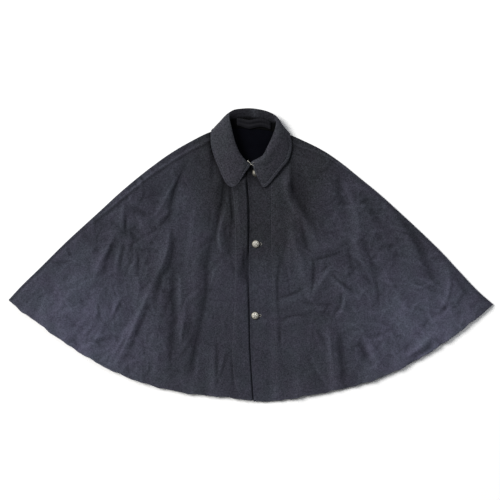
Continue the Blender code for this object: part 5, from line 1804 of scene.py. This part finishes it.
class CAPE_OT_make_stage(bpy.types.Operator):
    """Makes the pale floor, the soft lights, the sky and the camera above the cape"""

    bl_idname = "cape.make_stage"
    bl_label = "Make stage"

    def execute(self, context):
        colours = context.scene.cape_colours
        scene = bpy.context.scene
        mesh = bpy.data.meshes.new("floor")
        corners = [(x * FLOOR_HALF, y * FLOOR_HALF, 0) for x, y in ((-1, -1), (1, -1), (1, 1), (-1, 1))]
        mesh.from_pydata(corners, [], [(0, 1, 2, 3)])
        mesh.materials.append(floor_finish(tuple(colours.floor)))
        floor = add_object("floor", mesh)
        area_light("key_light", KEY_PLACE, KEY_SIZE, KEY_POWER, (1.0, 0.99, 0.97))
        area_light("fill_light", FILL_PLACE, FILL_SIZE, FILL_POWER, (0.93, 0.96, 1.0))
        world = bpy.data.worlds.new("sky")
        world.use_nodes = True
        background = world.node_tree.nodes["Background"]
        background.inputs["Color"].default_value = (0.97, 0.98, 1.0, 1)
        background.inputs["Strength"].default_value = SKY_STRENGTH
        scene.world = world
        scene.view_settings.view_transform = "Standard"
        data = bpy.data.cameras.new("overhead")
        data.type, data.lens, data.sensor_width = "PERSP", LENS, SENSOR
        camera = add_object("overhead", data)
        camera.location = (*VIEW_CENTRE, VIEW_WIDTH * LENS / SENSOR)
        scene.camera = camera
        return {"FINISHED"}


OPERATORS = (CAPE_OT_make_stage, CAPE_OT_make_back, CAPE_OT_make_fronts, CAPE_OT_make_collar,
             CAPE_OT_make_neck, CAPE_OT_make_buttons, CAPE_OT_make_hook_and_eye, CAPE_OT_make_stitching)


class CAPE_PT_parts(bpy.types.Panel):
    """Lists the cape's operators, sizes and colours"""

    bl_label = "Wool cape"
    bl_idname = "CAPE_PT_parts"
    bl_space_type = "VIEW_3D"
    bl_region_type = "UI"
    bl_category = "Cape"

    def draw(self, context):
        for operator in OPERATORS:
            self.layout.operator(operator.bl_idname)
        for group in (context.scene.cape_sizes, context.scene.cape_colours):
            for key in group.__annotations__:
                self.layout.prop(group, key)


CLASSES = (CapeSizes, CapeColours) + OPERATORS + (CAPE_PT_parts,)


def register():
    for cls in CLASSES:
        bpy.utils.register_class(cls)
    bpy.types.Scene.cape_sizes = PointerProperty(type=CapeSizes)
    bpy.types.Scene.cape_colours = PointerProperty(type=CapeColours)


def unregister():
    del bpy.types.Scene.cape_colours
    del bpy.types.Scene.cape_sizes
    for cls in reversed(CLASSES):
        bpy.utils.unregister_class(cls)


def main():
    """Registers the add-on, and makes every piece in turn."""
    register()
    for operator in OPERATORS:
        group, name = operator.bl_idname.split(".")
        getattr(getattr(bpy.ops, group), name)()


if __name__ == "__main__":
    main()
